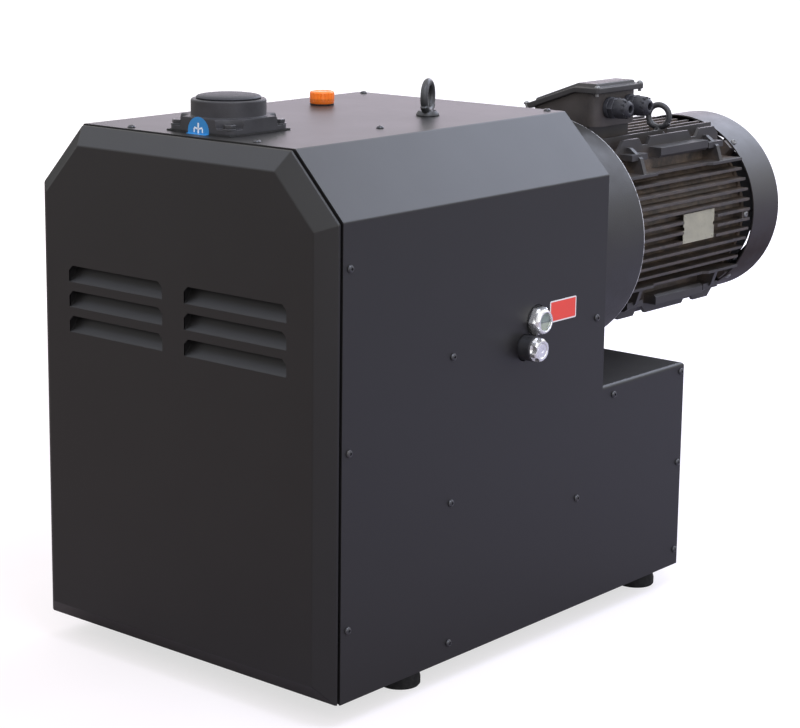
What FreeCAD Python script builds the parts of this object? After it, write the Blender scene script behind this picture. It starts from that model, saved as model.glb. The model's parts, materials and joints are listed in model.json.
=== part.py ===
import FreeCAD, Part
import math
import os
from FreeCAD import Vector as V

# A claw vacuum pump in a sheet metal enclosure, with its electric motor at the
# back. X runs across the machine, Y from the louvred front to the motor, Z up
# from the floor. While a piece is shaped, Y is counted from the gap behind the
# front panel, and every piece is moved to the part's origin at the end.
# All lengths are in millimetres.

# Enclosure
WIDTH = 500.0
TOP_Z = 680.0
PANEL_BOTTOM_Z = 30.0
SHEET = 2.0
CHAMFER_X = 73.0
CHAMFER_Z = 77.0
UPPER_FOLD_R = 4.0
UPPER_REAR_Y = 526.0
LOWER_REAR_Y = 724.0
LOWER_TOP_Z = 321.0
LOWER_FOLD_R = 5.0
LOWER_LIP_Z = 300.5
COVER_TOP_Z = 300.0
GAP = 3.0
FRONT_PANEL_DEPTH = 20.0
FRONT_BEVEL = 23.0
FRONT_LIP = 2.0
RETURN_FLANGE = 20.0
SEAL_INSET = 5.0
SEAL_WIDTH = 8.0
TAB_WIDTH = 24.0
TAB_DEPTH = 24.0
SLOT_CLEARANCE = 0.3
HOLE_CLEARANCE = 0.2

# Louvres in the front panel
LOUVRE_WIDTH = 166.0
LOUVRE_HEIGHT = 21.0
LOUVRE_PITCH = 32.0
LOUVRE_ROWS = 3
LOUVRE_TOP_Z = 503.5
LOUVRE_GAP = 37.0
LOUVRE_DEPTH = 15.0
LOUVRE_BLADE = 1.6

# Base frame, feet and posts
BASE_BOTTOM_Z = 34.0
BASE_SHEET = 3.0
BASE_RIM = 28.0
AIR_SLOT_COUNT = 5
AIR_SLOT_LENGTH = 150.0
AIR_SLOT_WIDTH = 18.0
AIR_SLOT_PITCH = 42.0
FOOT_X = 205.0
FOOT_FRONT_Y = 165.0
FOOT_REAR_INSET = 36.0
FOOT_R = 26.5
FOOT_NECK_R = 24.5
FOOT_HOLE_R = 4.2
FOOT_HOLE_DEPTH = 12.0
FOOT_STUD_R = 5.0
FOOT_STUD_LENGTH = 16.0
POST_DEPTH = 24.0
POST_SHEET = 2.5
POST_WIDTH = 25.0
BAR_HEIGHT = 22.0
TOP_BAR_HALF = 150.0

# Screws of the panels
SCREW_HEAD_R = 4.8
SCREW_HEAD_H = 3.0
SCREW_SOCKET_R = 1.7
SCREW_SHANK_R = 2.5
SCREW_LENGTH = 9.0

# Places of the panel screws, and the posts and flanges behind them
FRONT_SCREW_Y = 14.0
FRONT_SCREW_Z = (119.0, 333.0, 549.0)
MID_POST_Y = 190.0
MID_SCREW_INSET = 15.0
MID_SCREW_Z = (52.0, 232.0, 415.0)
REAR_WALL_DEPTH = 38.0
REAR_WALL_SCREW_INSET = 19.0
REAR_WALL_SCREW_Z = 417.0
REAR_COVER_DEPTH = 22.0
REAR_COVER_SCREW_INSET = 8.0
REAR_COVER_LOW_SCREWS = (52.0, 179.0)
REAR_COVER_TOP_SCREW_DROP = 12.0
REAR_COVER_FLANGE_DROP = 6.0
SHORT_POST_INSET = 66.0
SHORT_POST_SCREW_INSET = 13.0
SHORT_POST_SCREW_Z = 180.0
SHORT_POST_TOP_Z = 210.0
CLIP_OUT = 14.0
CLIP_SCREW_INSET = 12.0
CLIP_SCREW_DROP = 15.0
CLIP_DROP = 41.0
TOP_SCREW_X = (105.0, 121.0, 158.0)
TOP_MID_SCREW_Y = 217.0
TOP_REAR_SCREW_INSET = 13.0

# Pump
AXIS_Z = 475.5
CENTRES = 120.0
CLAW_TIP_R = 85.0
CLAW_GAP = 0.25
HOUSING_WALL = 14.0
HOUSING_Y0 = 150.0
CHAMBER_LENGTH = 134.0
SIDE_GAP = 0.15
RIB_REACH = 9.0
RIB_THICK = 5.0
RIB_COUNT = 6
FRONT_PLATE_THICK = 32.0
STAND_TOP_Z = 366.0
STAND_LEG = 40.0
STAND_DEPTH = 40.0
STAND_WALL = 3.0
STAND_PLATE = 12.0
PORT_R = 28.0
TIE_BOLT_R = 4.0

# Gearbox
GEARBOX_Y1 = 462.0
GEARBOX_FRONT_WALL = 32.0
GEARBOX_WALL = 8.0
GEARBOX_FOOT = 64.0
GEARBOX_CAVITY_R = 70.0
GEARBOX_COVER = 16.0
REAR_BEARING_INSET = 10.0
SUMP_BOTTOM_Z = 386.0
GEAR_MODULE = 3.0
GEAR_TEETH = 40
GEAR_PRESSURE_DEG = 20.0
GEAR_BACKLASH = 0.16
GEAR_Y0 = 336.0
GEAR_WIDTH = 34.0

# Shafts, bearings and seals
SHAFT_MID_R = 20.0
SHAFT_FRONT_R = 15.0
SHAFT_GEAR_R = 17.0
SHAFT_REAR_R = 15.0
SHAFT_FAN_R = 12.0
SHAFT_COUPLING_R = 14.0
SHAFT_GAP = 0.05
BEARING_R = 31.0
BEARING_WIDTH = 16.0
SEAL_R = 26.0
SEAL_THICK = 8.0
SHAFT_HOLE_GAP = 0.6
FAN_Y0 = 30.0
FAN_WIDTH = 44.0
FAN_R = 100.0
FAN_HUB_R = 26.0
FAN_BLADES = 12
FAN_SHEET = 2.5

# Inlet
INLET_Y = 76.0
INLET_HALF = 53.0
INLET_PLATE = 5.5
INLET_BLOCK_TOP = 19.0
INLET_COLLAR_TOP = 39.0
INLET_COLLAR_R = 46.0
INLET_BORE_R = 36.0
INLET_SOCKET_R = 38.0
INLET_SOCKET_DEPTH = 8.0
INLET_SEAT_R = 28.0
INLET_SEAT_THICK = 8.0
INLET_BOLT = 43.0
INLET_BOLT_R = 5.0
INLET_POCKET_R = 19.0
GASKET_THICK = 2.0
INLET_OPENING_R = 40.0
CAP_FLANGE_R = 39.5
CAP_FLANGE_THICK = 3.5
CAP_CLEARANCE = 0.35
CAP_DEPTH = 7.5
CAP_WALL = 3.0
PIPE_R = 46.0
PIPE_WALL = 6.0
PIPE_Z0 = 592.0
PIPE_DUCT_TOP_Z = 640.0
PIPE_FLANGE = 12.0
VALVE_DISC_R = 33.0
VALVE_DISC_THICK = 4.0
VALVE_STEM_R = 4.0
VALVE_TRAVEL = 10.0
VALVE_GUIDE_TOP = 44.0
SPRING_R = 9.0
SPRING_WIRE_R = 0.9
SPRING_TURNS = 5

# Fittings on the top and on the right side
EYE_X = 78.0
EYE_Y = 363.0
EYE_RING_R = 18.5
EYE_BAR_R = 5.0
EYE_COLLAR_R = 15.0
EYE_COLLAR_H = 6.5
EYE_CENTRE_H = 24.5
EYE_COLUMN_R = 18.0
EYE_SHANK_R = 6.0
FILLER_X = -105.0
FILLER_Y = 365.0
FILLER_R = 13.0
FILLER_WALL = 3.0
OIL_CAP_R = 16.5
OIL_CAP_H = 18.5
OIL_CAP_RIBS = 20
GLASS_Y = 374.0
GLASS_Z = 434.0
GLASS_HEX = 34.0
GLASS_OUT = 15.0
GLASS_LENS_R = 11.5
GLASS_CUTOUT_R = 20.5
DRAIN_Y = 351.0
DRAIN_Z = 403.0
DRAIN_R = 16.0
DRAIN_OUT = 17.0
DRAIN_PLUG_R = 15.0
DRAIN_PLUG_OUT = 10.0
DRAIN_CUTOUT_R = 17.5
BOSS_END_X = 236.0
LABEL_Y0 = 402.0
LABEL_Z0 = 426.0
LABEL_LENGTH = 57.0
LABEL_HEIGHT = 28.0
LABEL_THICK = 0.4
FLOW_LABEL_R = 18.0
FLOW_LABEL_X = 3.0

# Exhaust
EXHAUST_X = 60.0
EXHAUST_R = 26.0
EXHAUST_WALL = 3.0
SILENCER_Z = 165.0
SILENCER_R = 80.0
SILENCER_Y0 = 196.0
SILENCER_Y1 = 672.0
SILENCER_WALL = 2.0
OUTLET_BORE_R = 33.0
OUTLET_SPIGOT_R = 38.0
OUTLET_PIPE_R = 30.0
OUTLET_FLANGE_R = 46.0
OUTLET_LENGTH = 30.0

# Bell housing
BELL_R = 166.0
BELL_INNER_R = 156.0
BELL_END_Y = 745.0
BELL_CONE_Y = 518.0
BELL_FOOT_R = 74.0
BELL_FOOT = 14.0
BELL_LAND = 18.0
BELL_SPIGOT_R = 115.0
BELL_HOLE_GAP = 1.5

# Motor
MOTOR_FLANGE_R = 150.0
MOTOR_FLANGE_THICK = 12.0
MOTOR_FLANGE_PCD = 265.0
MOTOR_BOLT_R = 6.0
FRAME_Y0 = 765.0
FRAME_Y1 = 1076.0
FRAME_R = 118.0
STATOR_R = 106.0
ROTOR_R = 66.0
AIR_GAP = 0.5
CORE_Y0 = 822.0
CORE_Y1 = 1006.0
FIN_REACH = 137.0
FIN_TOP_REACH = 134.0
TOP_FIN_PITCH = 20.0
TOP_FINS = 7
FIN_PITCH = 15.0
FIN_THICK = 4.0
FINS_PER_SIDE = 10
NOTCHED_FIN = 82.5
NOTCHED_FIN_REACH = 119.0
TALL_FIN_REACH = 131.5
TALL_NOTCH_DEPTH = 11.0
TALL_NOTCHES = (97.5, 229.0)
PAD_OUT = 104.0
PAD_IN = 84.0
PAD_LOW = 101.5
PAD_HIGH = 116.5
PAD_Y0 = 874.0
PAD_Y1 = 1002.0
PAD_RIBS_Y = (815.0, 1020.0)
PAD_RIB_THICK = 8.0
COWL_R = 139.5
COWL_SHEET = 2.0
COWL_Y0 = 1083.0
COWL_Y1 = 1159.5
COWL_EDGE_R = 5.0
COWL_GRILLE_R = 110.0
COWL_SLOT_R = 14.0
COWL_SLOT_WIDTH = 8.0
COWL_SLOT_STEP = 14.0
COWL_SCREW_INSET = 9.0
COWL_SCREW_DEG = (48.0, 132.0, 228.0, 312.0)
LUG_HALF = 8.0
MOTOR_SHAFT_R = 19.0
MOTOR_SHAFT_TIP = 80.0
MOTOR_FAN_R = 121.0
MOTOR_FAN_DISC = 8.0
MOTOR_BEARING_R = 40.0
MOTOR_BEARING_WIDTH = 20.0

# Terminal box and other fittings of the motor
TBOX_X0 = -60.0
TBOX_X1 = 57.0
TBOX_Y0 = 774.0
TBOX_Y1 = 881.0
TBOX_Z0 = 626.0
TBOX_SLOPE_X = 21.0
TBOX_HIGH_Z = 675.0
TBOX_LOW_Z = 645.5
TBOX_WALL = 4.0
TBOX_CORNER_R = 18.0
TBOX_SEAT_INSET = 14.0
TBOX_RIM = 6.0
TBOX_OPENING = (-8.0, 37.0, 804.0, 838.0)
LID_THICK = 8.0
LID_CROWN = 5.0
GLAND_Y = (805.0, 855.0)
GLAND_Z = 653.0
GLAND_HEX = 29.0
GLAND_HOLE_R = 5.0
GLAND_THREAD_R = 10.0
GLAND_OUT = 38.0
MOTOR_EYE_X = 50.0
MOTOR_EYE_Y = 948.0
MOTOR_EYE_DROP = 10.0
MOTOR_EYE_CENTRE_H = 29.0
MOTOR_EYE_RING_R = 16.5
MOTOR_EYE_BAR_R = 4.3
MOTOR_EYE_TURN = -81.0
PLATE_Y0 = 896.0
PLATE_Y1 = 980.0
PLATE_HEIGHT = 44.0
PLATE_DROP = 3.0
PLATE_THICK = 1.0

# Coupling
HUB_R = 42.0
HUB_LENGTH = 58.0
HUB_GAP = 18.0
SPIDER_JAWS = 6
JAW_GAP = 0.3

AX, AY, AZ = V(1, 0, 0), V(0, 1, 0), V(0, 0, 1)
HALF = WIDTH / 2
HOOD_Y0 = GAP / 2
PANEL_Y1 = -GAP / 2
PANEL_Y0 = PANEL_Y1 - FRONT_PANEL_DEPTH
HOUSING_Y1 = HOUSING_Y0 + CHAMBER_LENGTH
FRONT_PLATE_Y0 = HOUSING_Y0 - FRONT_PLATE_THICK
BASE_TOP_Z = BASE_BOTTOM_Z + BASE_SHEET
CLAW_ROOT_R = CENTRES - CLAW_TIP_R
PUMP_X = CENTRES / 2
HOUSING_R = CLAW_TIP_R + HOUSING_WALL
MOTOR_FACE_Y = BELL_END_Y - MOTOR_FLANGE_THICK
PUMP_AXES = (0.0, CENTRES)
FOOT_REAR_Y = LOWER_REAR_Y - FOOT_REAR_INSET
FRONT_BEARING_Y = FRONT_PLATE_Y0
FRONT_SEAL_Y = FRONT_BEARING_Y + BEARING_WIDTH
INNER_BEARING_Y = HOUSING_Y1 + GEARBOX_FRONT_WALL - BEARING_WIDTH
INNER_SEAL_Y = INNER_BEARING_Y - SEAL_THICK
REAR_BEARING_Y = GEARBOX_Y1 - REAR_BEARING_INSET
COVER_SEAL_Y = REAR_BEARING_Y + BEARING_WIDTH
PORT_Y = FRONT_PLATE_Y0 + FRONT_PLATE_THICK / 2
COVER_Y1 = GEARBOX_Y1 + GEARBOX_COVER
COUPLING_Y0 = MOTOR_FACE_Y - MOTOR_SHAFT_TIP - HUB_GAP - HUB_LENGTH
MOTOR_BEARING_Y0 = BELL_END_Y + 8.0
MOTOR_BEARING_Y1 = FRAME_Y1 - 12.0
END_SHIELD_Y1 = FRAME_Y1 + 12.0
MOTOR_SHAFT_END = COWL_Y1 - 24.0
SHOULDER_R = FRAME_R + 4.0
COWL_SCREW_Y = COWL_Y0 + COWL_SCREW_INSET
COWL_LUG_Y1 = COWL_SCREW_Y + LUG_HALF
MOTOR_EYE_SEAT_Z = AXIS_Z + FIN_TOP_REACH - MOTOR_EYE_DROP

# The rows of panel screws, and the posts and clips that they go into
MID_SCREW_Y = MID_POST_Y + MID_SCREW_INSET
REAR_WALL_SCREW_Y = UPPER_REAR_Y - REAR_WALL_SCREW_INSET
REAR_COVER_SCREW_Y = LOWER_REAR_Y - REAR_COVER_SCREW_INSET
REAR_COVER_SCREW_Z = REAR_COVER_LOW_SCREWS + (LOWER_TOP_Z - REAR_COVER_TOP_SCREW_DROP,)
REAR_COVER_FLANGE_Z = LOWER_TOP_Z - REAR_COVER_FLANGE_DROP
SHORT_POST_Y = UPPER_REAR_Y - SHORT_POST_INSET
SHORT_POST_SCREW_Y = SHORT_POST_Y + SHORT_POST_SCREW_INSET
CLIP_Y = UPPER_REAR_Y + CLIP_OUT
CLIP_SCREW_Y = CLIP_Y + CLIP_SCREW_INSET
CLIP_SCREW_Z = LOWER_TOP_Z - CLIP_SCREW_DROP
CLIP_Z0 = LOWER_TOP_Z - CLIP_DROP
TOP_SCREWS = tuple(zip(TOP_SCREW_X, (FRONT_SCREW_Y, TOP_MID_SCREW_Y,
                                     UPPER_REAR_Y - TOP_REAR_SCREW_INSET)))


def box(x0, x1, y0, y1, z0, z1):
    return Part.makeBox(x1 - x0, y1 - y0, z1 - z0, V(x0, y0, z0))


def rod(point, axis, r, length):
    return Part.makeCylinder(r, length, V(*point), axis)


def tube(point, axis, r_out, r_in, length):
    return rod(point, axis, r_out, length).cut(rod(point, axis, r_in, length))


def join(shapes):
    first, rest = shapes[0], shapes[1:]
    return first.fuse(rest).removeSplitter() if rest else first


def prism(points, direction):
    wire = Part.makePolygon(points + [points[0]])
    return Part.Face(wire).extrude(direction)


def prism_x(points, x0, x1):
    return prism([V(x0, y, z) for y, z in points], V(x1 - x0, 0, 0))


def prism_y(points, y0, y1):
    return prism([V(x, y0, z) for x, z in points], V(0, y1 - y0, 0))


def prism_z(points, z0, z1):
    return prism([V(x, y, z0) for x, y in points], V(0, 0, z1 - z0))


def turned(points, origin, axis, side):
    """A solid turned about the axis, from points given as radius and distance along the axis."""
    base = V(*origin)
    corners = [base + side * r + axis * s for r, s in points]
    face = Part.Face(Part.makePolygon(corners + [corners[0]]))
    return face.revolve(base, axis, 360)


def turned_y(points, x=0.0, z=AXIS_Z):
    return turned(points, (x, 0, z), AY, AX)


def turned_z(points, x=0.0, y=0.0):
    return turned(points, (x, y, 0), AZ, AX)


def aimed(shape, point, out):
    """The shape, made along +Z at the origin, set at a point and aimed along out."""
    shape.Placement = FreeCAD.Placement(V(*point), FreeCAD.Rotation(AZ, out))
    return shape


def hexagon(across_flats, height, turn=0.0):
    r = across_flats / 2 / math.cos(math.pi / 6)
    steps = [math.radians(turn + 60 * k) for k in range(6)]
    return prism_z([(r * math.cos(a), r * math.sin(a)) for a in steps], 0, height)


def inset(points, d):
    """A convex outline, listed anticlockwise, moved inwards by d."""
    count = len(points)
    lines = []
    for k in range(count):
        (x0, y0), (x1, y1) = points[k], points[(k + 1) % count]
        length = math.hypot(x1 - x0, y1 - y0)
        nx, ny = -(y1 - y0) / length, (x1 - x0) / length
        lines.append((nx, ny, nx * x0 + ny * y0 + d))
    moved = []
    for k in range(count):
        a, b = lines[k - 1], lines[k]
        det = a[0] * b[1] - a[1] * b[0]
        moved.append(((a[2] * b[1] - a[1] * b[2]) / det, (a[0] * b[2] - a[2] * b[0]) / det))
    return moved


def outline(bottom_z):
    """The enclosure's section across X and Z, from a bottom height to the top."""
    return [
        (-HALF, bottom_z), (HALF, bottom_z), (HALF, TOP_Z - CHAMFER_Z), (HALF - CHAMFER_X, TOP_Z),
        (-HALF + CHAMFER_X, TOP_Z), (-HALF, TOP_Z - CHAMFER_Z),
    ]


def loft(low_points, y0, high_points, y1):
    wires = []
    for points, y in ((low_points, y0), (high_points, y1)):
        corners = [V(x, y, z) for x, z in points]
        wires.append(Part.makePolygon(corners + [corners[0]]))
    return Part.makeLoft(wires, True, True)


def stadium(x0, y0, x1, y1, r, z0, z1):
    """The hull of two upright round columns."""
    length = math.hypot(x1 - x0, y1 - y0)
    nx, ny = -(y1 - y0) / length * r, (x1 - x0) / length * r
    sides = [(x0 + nx, y0 + ny), (x1 + nx, y1 + ny), (x1 - nx, y1 - ny), (x0 - nx, y0 - ny)]
    height = z1 - z0
    ends = [rod((x0, y0, z0), AZ, r, height), rod((x1, y1, z0), AZ, r, height)]
    return join([prism_z(sides, z0, z1)] + ends)


def shaft_hull(r, y0, y1):
    """The hull of two rods about the two pump axes."""
    block = box(0, CENTRES, y0, y1, AXIS_Z - r, AXIS_Z + r)
    return join([block] + [rod((x, y0, AXIS_Z), AY, r, y1 - y0) for x in PUMP_AXES])


def button_screw(point, out, length=SCREW_LENGTH, head_r=SCREW_HEAD_R, head_h=SCREW_HEAD_H):
    head = turned_z([
        (0, -length), (SCREW_SHANK_R, -length), (SCREW_SHANK_R, 0), (head_r, 0),
        (head_r, head_h * 0.3), (head_r * 0.8, head_h * 0.78), (head_r * 0.5, head_h), (0, head_h),
    ])
    socket = hexagon(SCREW_SOCKET_R * 2, head_h).translated(V(0, 0, head_h * 0.4))
    return aimed(head.cut(socket), point, out)


def hex_bolt(point, out, shank_r, across_flats, head_h, length):
    shank = rod((0, 0, -length), AZ, shank_r, length)
    return aimed(join([hexagon(across_flats, head_h), shank]), point, out)


def eye_bolt(ring_r, bar_r, collar_r, collar_h, centre_h, shank_r, shank_length, turn):
    ring = Part.makeTorus(ring_r, bar_r, V(0, 0, centre_h), AX)
    neck = Part.makeCone(collar_r * 0.72, bar_r * 1.1, centre_h - ring_r - collar_h + 1,
                         V(0, 0, collar_h - 1), AZ)
    collar = Part.makeCone(collar_r, collar_r * 0.8, collar_h, V(0, 0, 0), AZ)
    shank = rod((0, 0, -shank_length), AZ, shank_r, shank_length)
    eye = join([ring, neck, collar, shank])
    eye.rotate(V(0, 0, 0), AZ, turn)
    return eye


def side_screw_places():
    places = [(FRONT_SCREW_Y, z) for z in FRONT_SCREW_Z]
    places += [(MID_SCREW_Y, z) for z in MID_SCREW_Z]
    places += [(REAR_WALL_SCREW_Y, REAR_WALL_SCREW_Z), (SHORT_POST_SCREW_Y, SHORT_POST_SCREW_Z)]
    places += [(CLIP_SCREW_Y, CLIP_SCREW_Z)]
    places += [(REAR_COVER_SCREW_Y, z) for z in REAR_COVER_SCREW_Z]
    return places


def screw_holes():
    """Clearance holes for every panel screw, long enough to pass the sheets and posts."""
    r = SCREW_SHANK_R + HOLE_CLEARANCE
    reach = SCREW_LENGTH + 4
    holes = []
    for y, z in side_screw_places():
        holes += [rod((side * (HALF + 1), y, z), V(-side, 0, 0), r, reach) for side in (-1, 1)]
    for x, y in TOP_SCREWS:
        holes += [rod((side * x, y, TOP_Z + 1), V(0, 0, -1), r, reach) for side in (-1, 1)]
    return holes


def panel_screws():
    screws = []
    for side in (-1, 1):
        screws += [button_screw((side * HALF, y, z), V(side, 0, 0)) for y, z in side_screw_places()]
        screws += [button_screw((side * x, y, TOP_Z), AZ) for x, y in TOP_SCREWS]
    return screws


def folded(prism, r):
    """Rounds the four long folds where the chamfers meet the top and the sides."""
    low = TOP_Z - CHAMFER_Z - 2 * SHEET
    folds = [e for e in prism.Edges if len(e.Vertexes) == 2 and e.CenterOfMass.z > low
             and abs(e.Vertexes[0].Y - e.Vertexes[1].Y) > 1]
    return prism.makeFillet(r, folds)


def hood():
    upper = folded(prism_y(outline(PANEL_BOTTOM_Z), HOOD_Y0, UPPER_REAR_Y), UPPER_FOLD_R)
    lower = box(-HALF, HALF, UPPER_REAR_Y - 50, LOWER_REAR_Y, PANEL_BOTTOM_Z, LOWER_TOP_Z)
    fold = [e for e in lower.Edges if abs(e.CenterOfMass.z - LOWER_TOP_Z) < 0.01
            and (abs(abs(e.CenterOfMass.x) - HALF) < 0.01
                 or abs(e.CenterOfMass.y - LOWER_REAR_Y) < 0.01)]
    lower = lower.makeFillet(LOWER_FOLD_R, fold)
    inner_side = HALF - SHEET
    inner_upper = prism_y(inset(outline(PANEL_BOTTOM_Z - 50), SHEET), HOOD_Y0 - 1, UPPER_REAR_Y + 1)
    inner_upper = folded(inner_upper, UPPER_FOLD_R - SHEET)
    inner_lower = box(-inner_side, inner_side, UPPER_REAR_Y - 60, LOWER_REAR_Y - SHEET,
                      PANEL_BOTTOM_Z - 1, LOWER_TOP_Z - SHEET)
    inner_rear = LOWER_REAR_Y - SHEET
    folds = [e for e in inner_lower.Edges if abs(e.CenterOfMass.z - LOWER_TOP_Z + SHEET) < 0.01
             and (abs(abs(e.CenterOfMass.x) - inner_side) < 0.01
                  or abs(e.CenterOfMass.y - inner_rear) < 0.01)]
    inner_lower = inner_lower.makeFillet(LOWER_FOLD_R - SHEET, folds)
    mouth = box(-inner_side, inner_side, inner_rear - 1, LOWER_REAR_Y + 1, PANEL_BOTTOM_Z - 1,
                LOWER_LIP_Z)
    shell = join([upper, lower]).cut([inner_upper, inner_lower, mouth, bell_room()])
    flange_outer = inset(outline(PANEL_BOTTOM_Z), SHEET / 2)
    flange = prism_y(flange_outer, HOOD_Y0, HOOD_Y0 + SHEET)
    opening = inset(outline(PANEL_BOTTOM_Z - 60), SHEET + RETURN_FLANGE)
    opening = prism_y(opening, HOOD_Y0 - 1, HOOD_Y0 + SHEET + 1)
    shell = join([shell, flange.cut(opening)])
    tools = screw_holes() + tab_slots()
    tools.append(rod((0, INLET_Y, TOP_Z - 30), AZ, INLET_OPENING_R, 60))
    tools += [rod((sx * INLET_BOLT, INLET_Y + sy * INLET_BOLT, TOP_Z - 20), AZ,
                  INLET_BOLT_R + HOLE_CLEARANCE, 40)
              for sx in (-1, 1) for sy in (-1, 1)]
    tools.append(rod((EYE_X, EYE_Y, TOP_Z - 20), AZ, EYE_SHANK_R + 1, 40))
    tools.append(rod((FILLER_X, FILLER_Y, TOP_Z - 20), AZ, FILLER_R + 1, 40))
    tools.append(rod((HALF - 20, GLASS_Y, GLASS_Z), AX, GLASS_CUTOUT_R, 40))
    tools.append(rod((HALF - 20, DRAIN_Y, DRAIN_Z), AX, DRAIN_CUTOUT_R, 40))
    return shell.cut(tools)


def bell_room():
    """The room that the round bell housing takes through the panels, with a gap around it."""
    start = UPPER_REAR_Y - REAR_WALL_DEPTH + SHEET
    return rod((0, start, AXIS_Z), AY, BELL_R + BELL_HOLE_GAP, LOWER_REAR_Y - start + 5)


def tab_slots():
    slots = []
    for side in (-1, 1):
        for z in FRONT_SCREW_Z:
            x = sorted((side * (HALF - SHEET), side * (HALF - 2 * SHEET - SLOT_CLEARANCE)))
            half = TAB_WIDTH / 2 + SLOT_CLEARANCE
            slots.append(box(x[0], x[1], HOOD_Y0 - 1, HOOD_Y0 + SHEET + 1, z - half, z + half))
    return slots


def front_panel():
    full = outline(PANEL_BOTTOM_Z)
    lip_y = PANEL_Y1 - FRONT_LIP
    shell = join([loft(inset(full, FRONT_BEVEL), PANEL_Y0, full, lip_y),
                  prism_y(full, lip_y, PANEL_Y1)])
    hollow = join([
        loft(inset(full, FRONT_BEVEL + SHEET * 0.4), PANEL_Y0 + SHEET, inset(full, SHEET),
             lip_y + SHEET * 0.4),
        prism_y(inset(full, SHEET), lip_y + SHEET * 0.4, PANEL_Y1 + 1),
    ])
    shell = shell.cut(hollow)
    flange = prism_y(inset(full, SHEET / 2), PANEL_Y1 - SHEET, PANEL_Y1)
    shell = join([shell, flange.cut(prism_y(inset(full, RETURN_FLANGE), PANEL_Y1 - SHEET - 1,
                                            PANEL_Y1 + 1))])
    windows, blades = [], []
    for side in (-1, 1):
        x0 = side * (LOUVRE_GAP + LOUVRE_WIDTH) / 2 - LOUVRE_WIDTH / 2
        x1 = x0 + LOUVRE_WIDTH
        for row in range(LOUVRE_ROWS):
            top = LOUVRE_TOP_Z - row * LOUVRE_PITCH
            low = top - LOUVRE_HEIGHT
            windows.append(box(x0, x1, PANEL_Y0 - 1, PANEL_Y0 + SHEET + 0.5, low, top))
            inner_y = PANEL_Y0 + LOUVRE_DEPTH
            blade = [(PANEL_Y0 + 0.4, low), (PANEL_Y0 + 0.4, low - LOUVRE_BLADE),
                     (PANEL_Y0 + SHEET, low - LOUVRE_BLADE),
                     (inner_y, top - LOUVRE_BLADE), (inner_y, top), (inner_y - LOUVRE_BLADE, top)]
            cheek = [(PANEL_Y0 + 0.4, low), (inner_y, top), (inner_y, top + 3),
                     (PANEL_Y0 + 0.4, top + 3)]
            blades.append(prism_x(blade, x0 - LOUVRE_BLADE, x1 + LOUVRE_BLADE))
            blades.append(prism_x(cheek, x0 - LOUVRE_BLADE, x0))
            blades.append(prism_x(cheek, x1, x1 + LOUVRE_BLADE))
    shell = join([shell.cut(windows)] + blades)
    tabs = []
    for side in (-1, 1):
        for z in FRONT_SCREW_Z:
            x = sorted((side * (HALF - SHEET), side * (HALF - 2 * SHEET)))
            tabs.append(box(x[0], x[1], PANEL_Y1 - SHEET, PANEL_Y1 + TAB_DEPTH, z - TAB_WIDTH / 2,
                            z + TAB_WIDTH / 2))
    return join([shell] + tabs).cut(screw_holes())


def front_seal():
    outer = prism_y(inset(outline(PANEL_BOTTOM_Z), SEAL_INSET), PANEL_Y1, HOOD_Y0)
    inner = prism_y(inset(outline(PANEL_BOTTOM_Z), SEAL_INSET + SEAL_WIDTH), PANEL_Y1 - 1, HOOD_Y0 + 1)
    return outer.cut(inner)


def rear_wall():
    full = inset(outline(LOWER_TOP_Z), SHEET)
    full[0], full[1] = (full[0][0], LOWER_TOP_Z), (full[1][0], LOWER_TOP_Z)
    tray = folded(prism_y(full, UPPER_REAR_Y - REAR_WALL_DEPTH, UPPER_REAR_Y), UPPER_FOLD_R - SHEET)
    tray = tray.cut(prism_y(inset(full, SHEET), UPPER_REAR_Y - REAR_WALL_DEPTH - 1,
                            UPPER_REAR_Y - SHEET))
    return tray.cut([bell_room()] + screw_holes())


def rear_cover():
    x = HALF - SHEET
    y0, y1 = LOWER_REAR_Y - REAR_COVER_DEPTH, LOWER_REAR_Y - SHEET
    plate = box(-x, x, y1, LOWER_REAR_Y, PANEL_BOTTOM_Z, COVER_TOP_Z)
    strip = box(-x, x, y1 - SHEET, y1, COVER_TOP_Z - 15, REAR_COVER_FLANGE_Z)
    flanges = [box(*sorted((side * x, side * (x - SHEET))), y0, y1, BASE_TOP_Z + BASE_RIM,
                   REAR_COVER_FLANGE_Z)
               for side in (-1, 1)]
    outlet = rod((EXHAUST_X, LOWER_REAR_Y - 10, SILENCER_Z), AY, OUTLET_SPIGOT_R + HOLE_CLEARANCE, 20)
    return join([plate, strip] + flanges).cut([outlet, bell_room()] + screw_holes())


def base_frame():
    x = HALF - SHEET
    y0, y1 = HOOD_Y0 + SHEET, LOWER_REAR_Y - SHEET
    floor = box(-x, x, y0, y1, BASE_BOTTOM_Z, BASE_TOP_Z)
    tools = []
    for k in range(AIR_SLOT_COUNT):
        y = MID_POST_Y + 70 + k * AIR_SLOT_PITCH
        tools.append(box(-AIR_SLOT_LENGTH - 20, -20, y, y + AIR_SLOT_WIDTH, BASE_BOTTOM_Z - 1,
                         BASE_TOP_Z + 1))
    for px, py in foot_places():
        tools.append(rod((px, py, BASE_BOTTOM_Z - 1), AZ, FOOT_STUD_R + HOLE_CLEARANCE, 20))
    return join([floor, base_rim()]).cut(tools + screw_holes())


def base_rim():
    x = HALF - SHEET
    y0, y1, z0, z1 = HOOD_Y0 + SHEET, LOWER_REAR_Y - SHEET, BASE_TOP_Z, BASE_TOP_Z + BASE_RIM
    hollow = box(-x + BASE_SHEET, x - BASE_SHEET, y0 + BASE_SHEET, y1 - BASE_SHEET, z0, z1)
    return box(-x, x, y0, y1, z0, z1).cut(hollow)


def foot_places():
    return [(sx * FOOT_X, y) for sx in (-1, 1) for y in (FOOT_FRONT_Y, FOOT_REAR_Y)]


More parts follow.
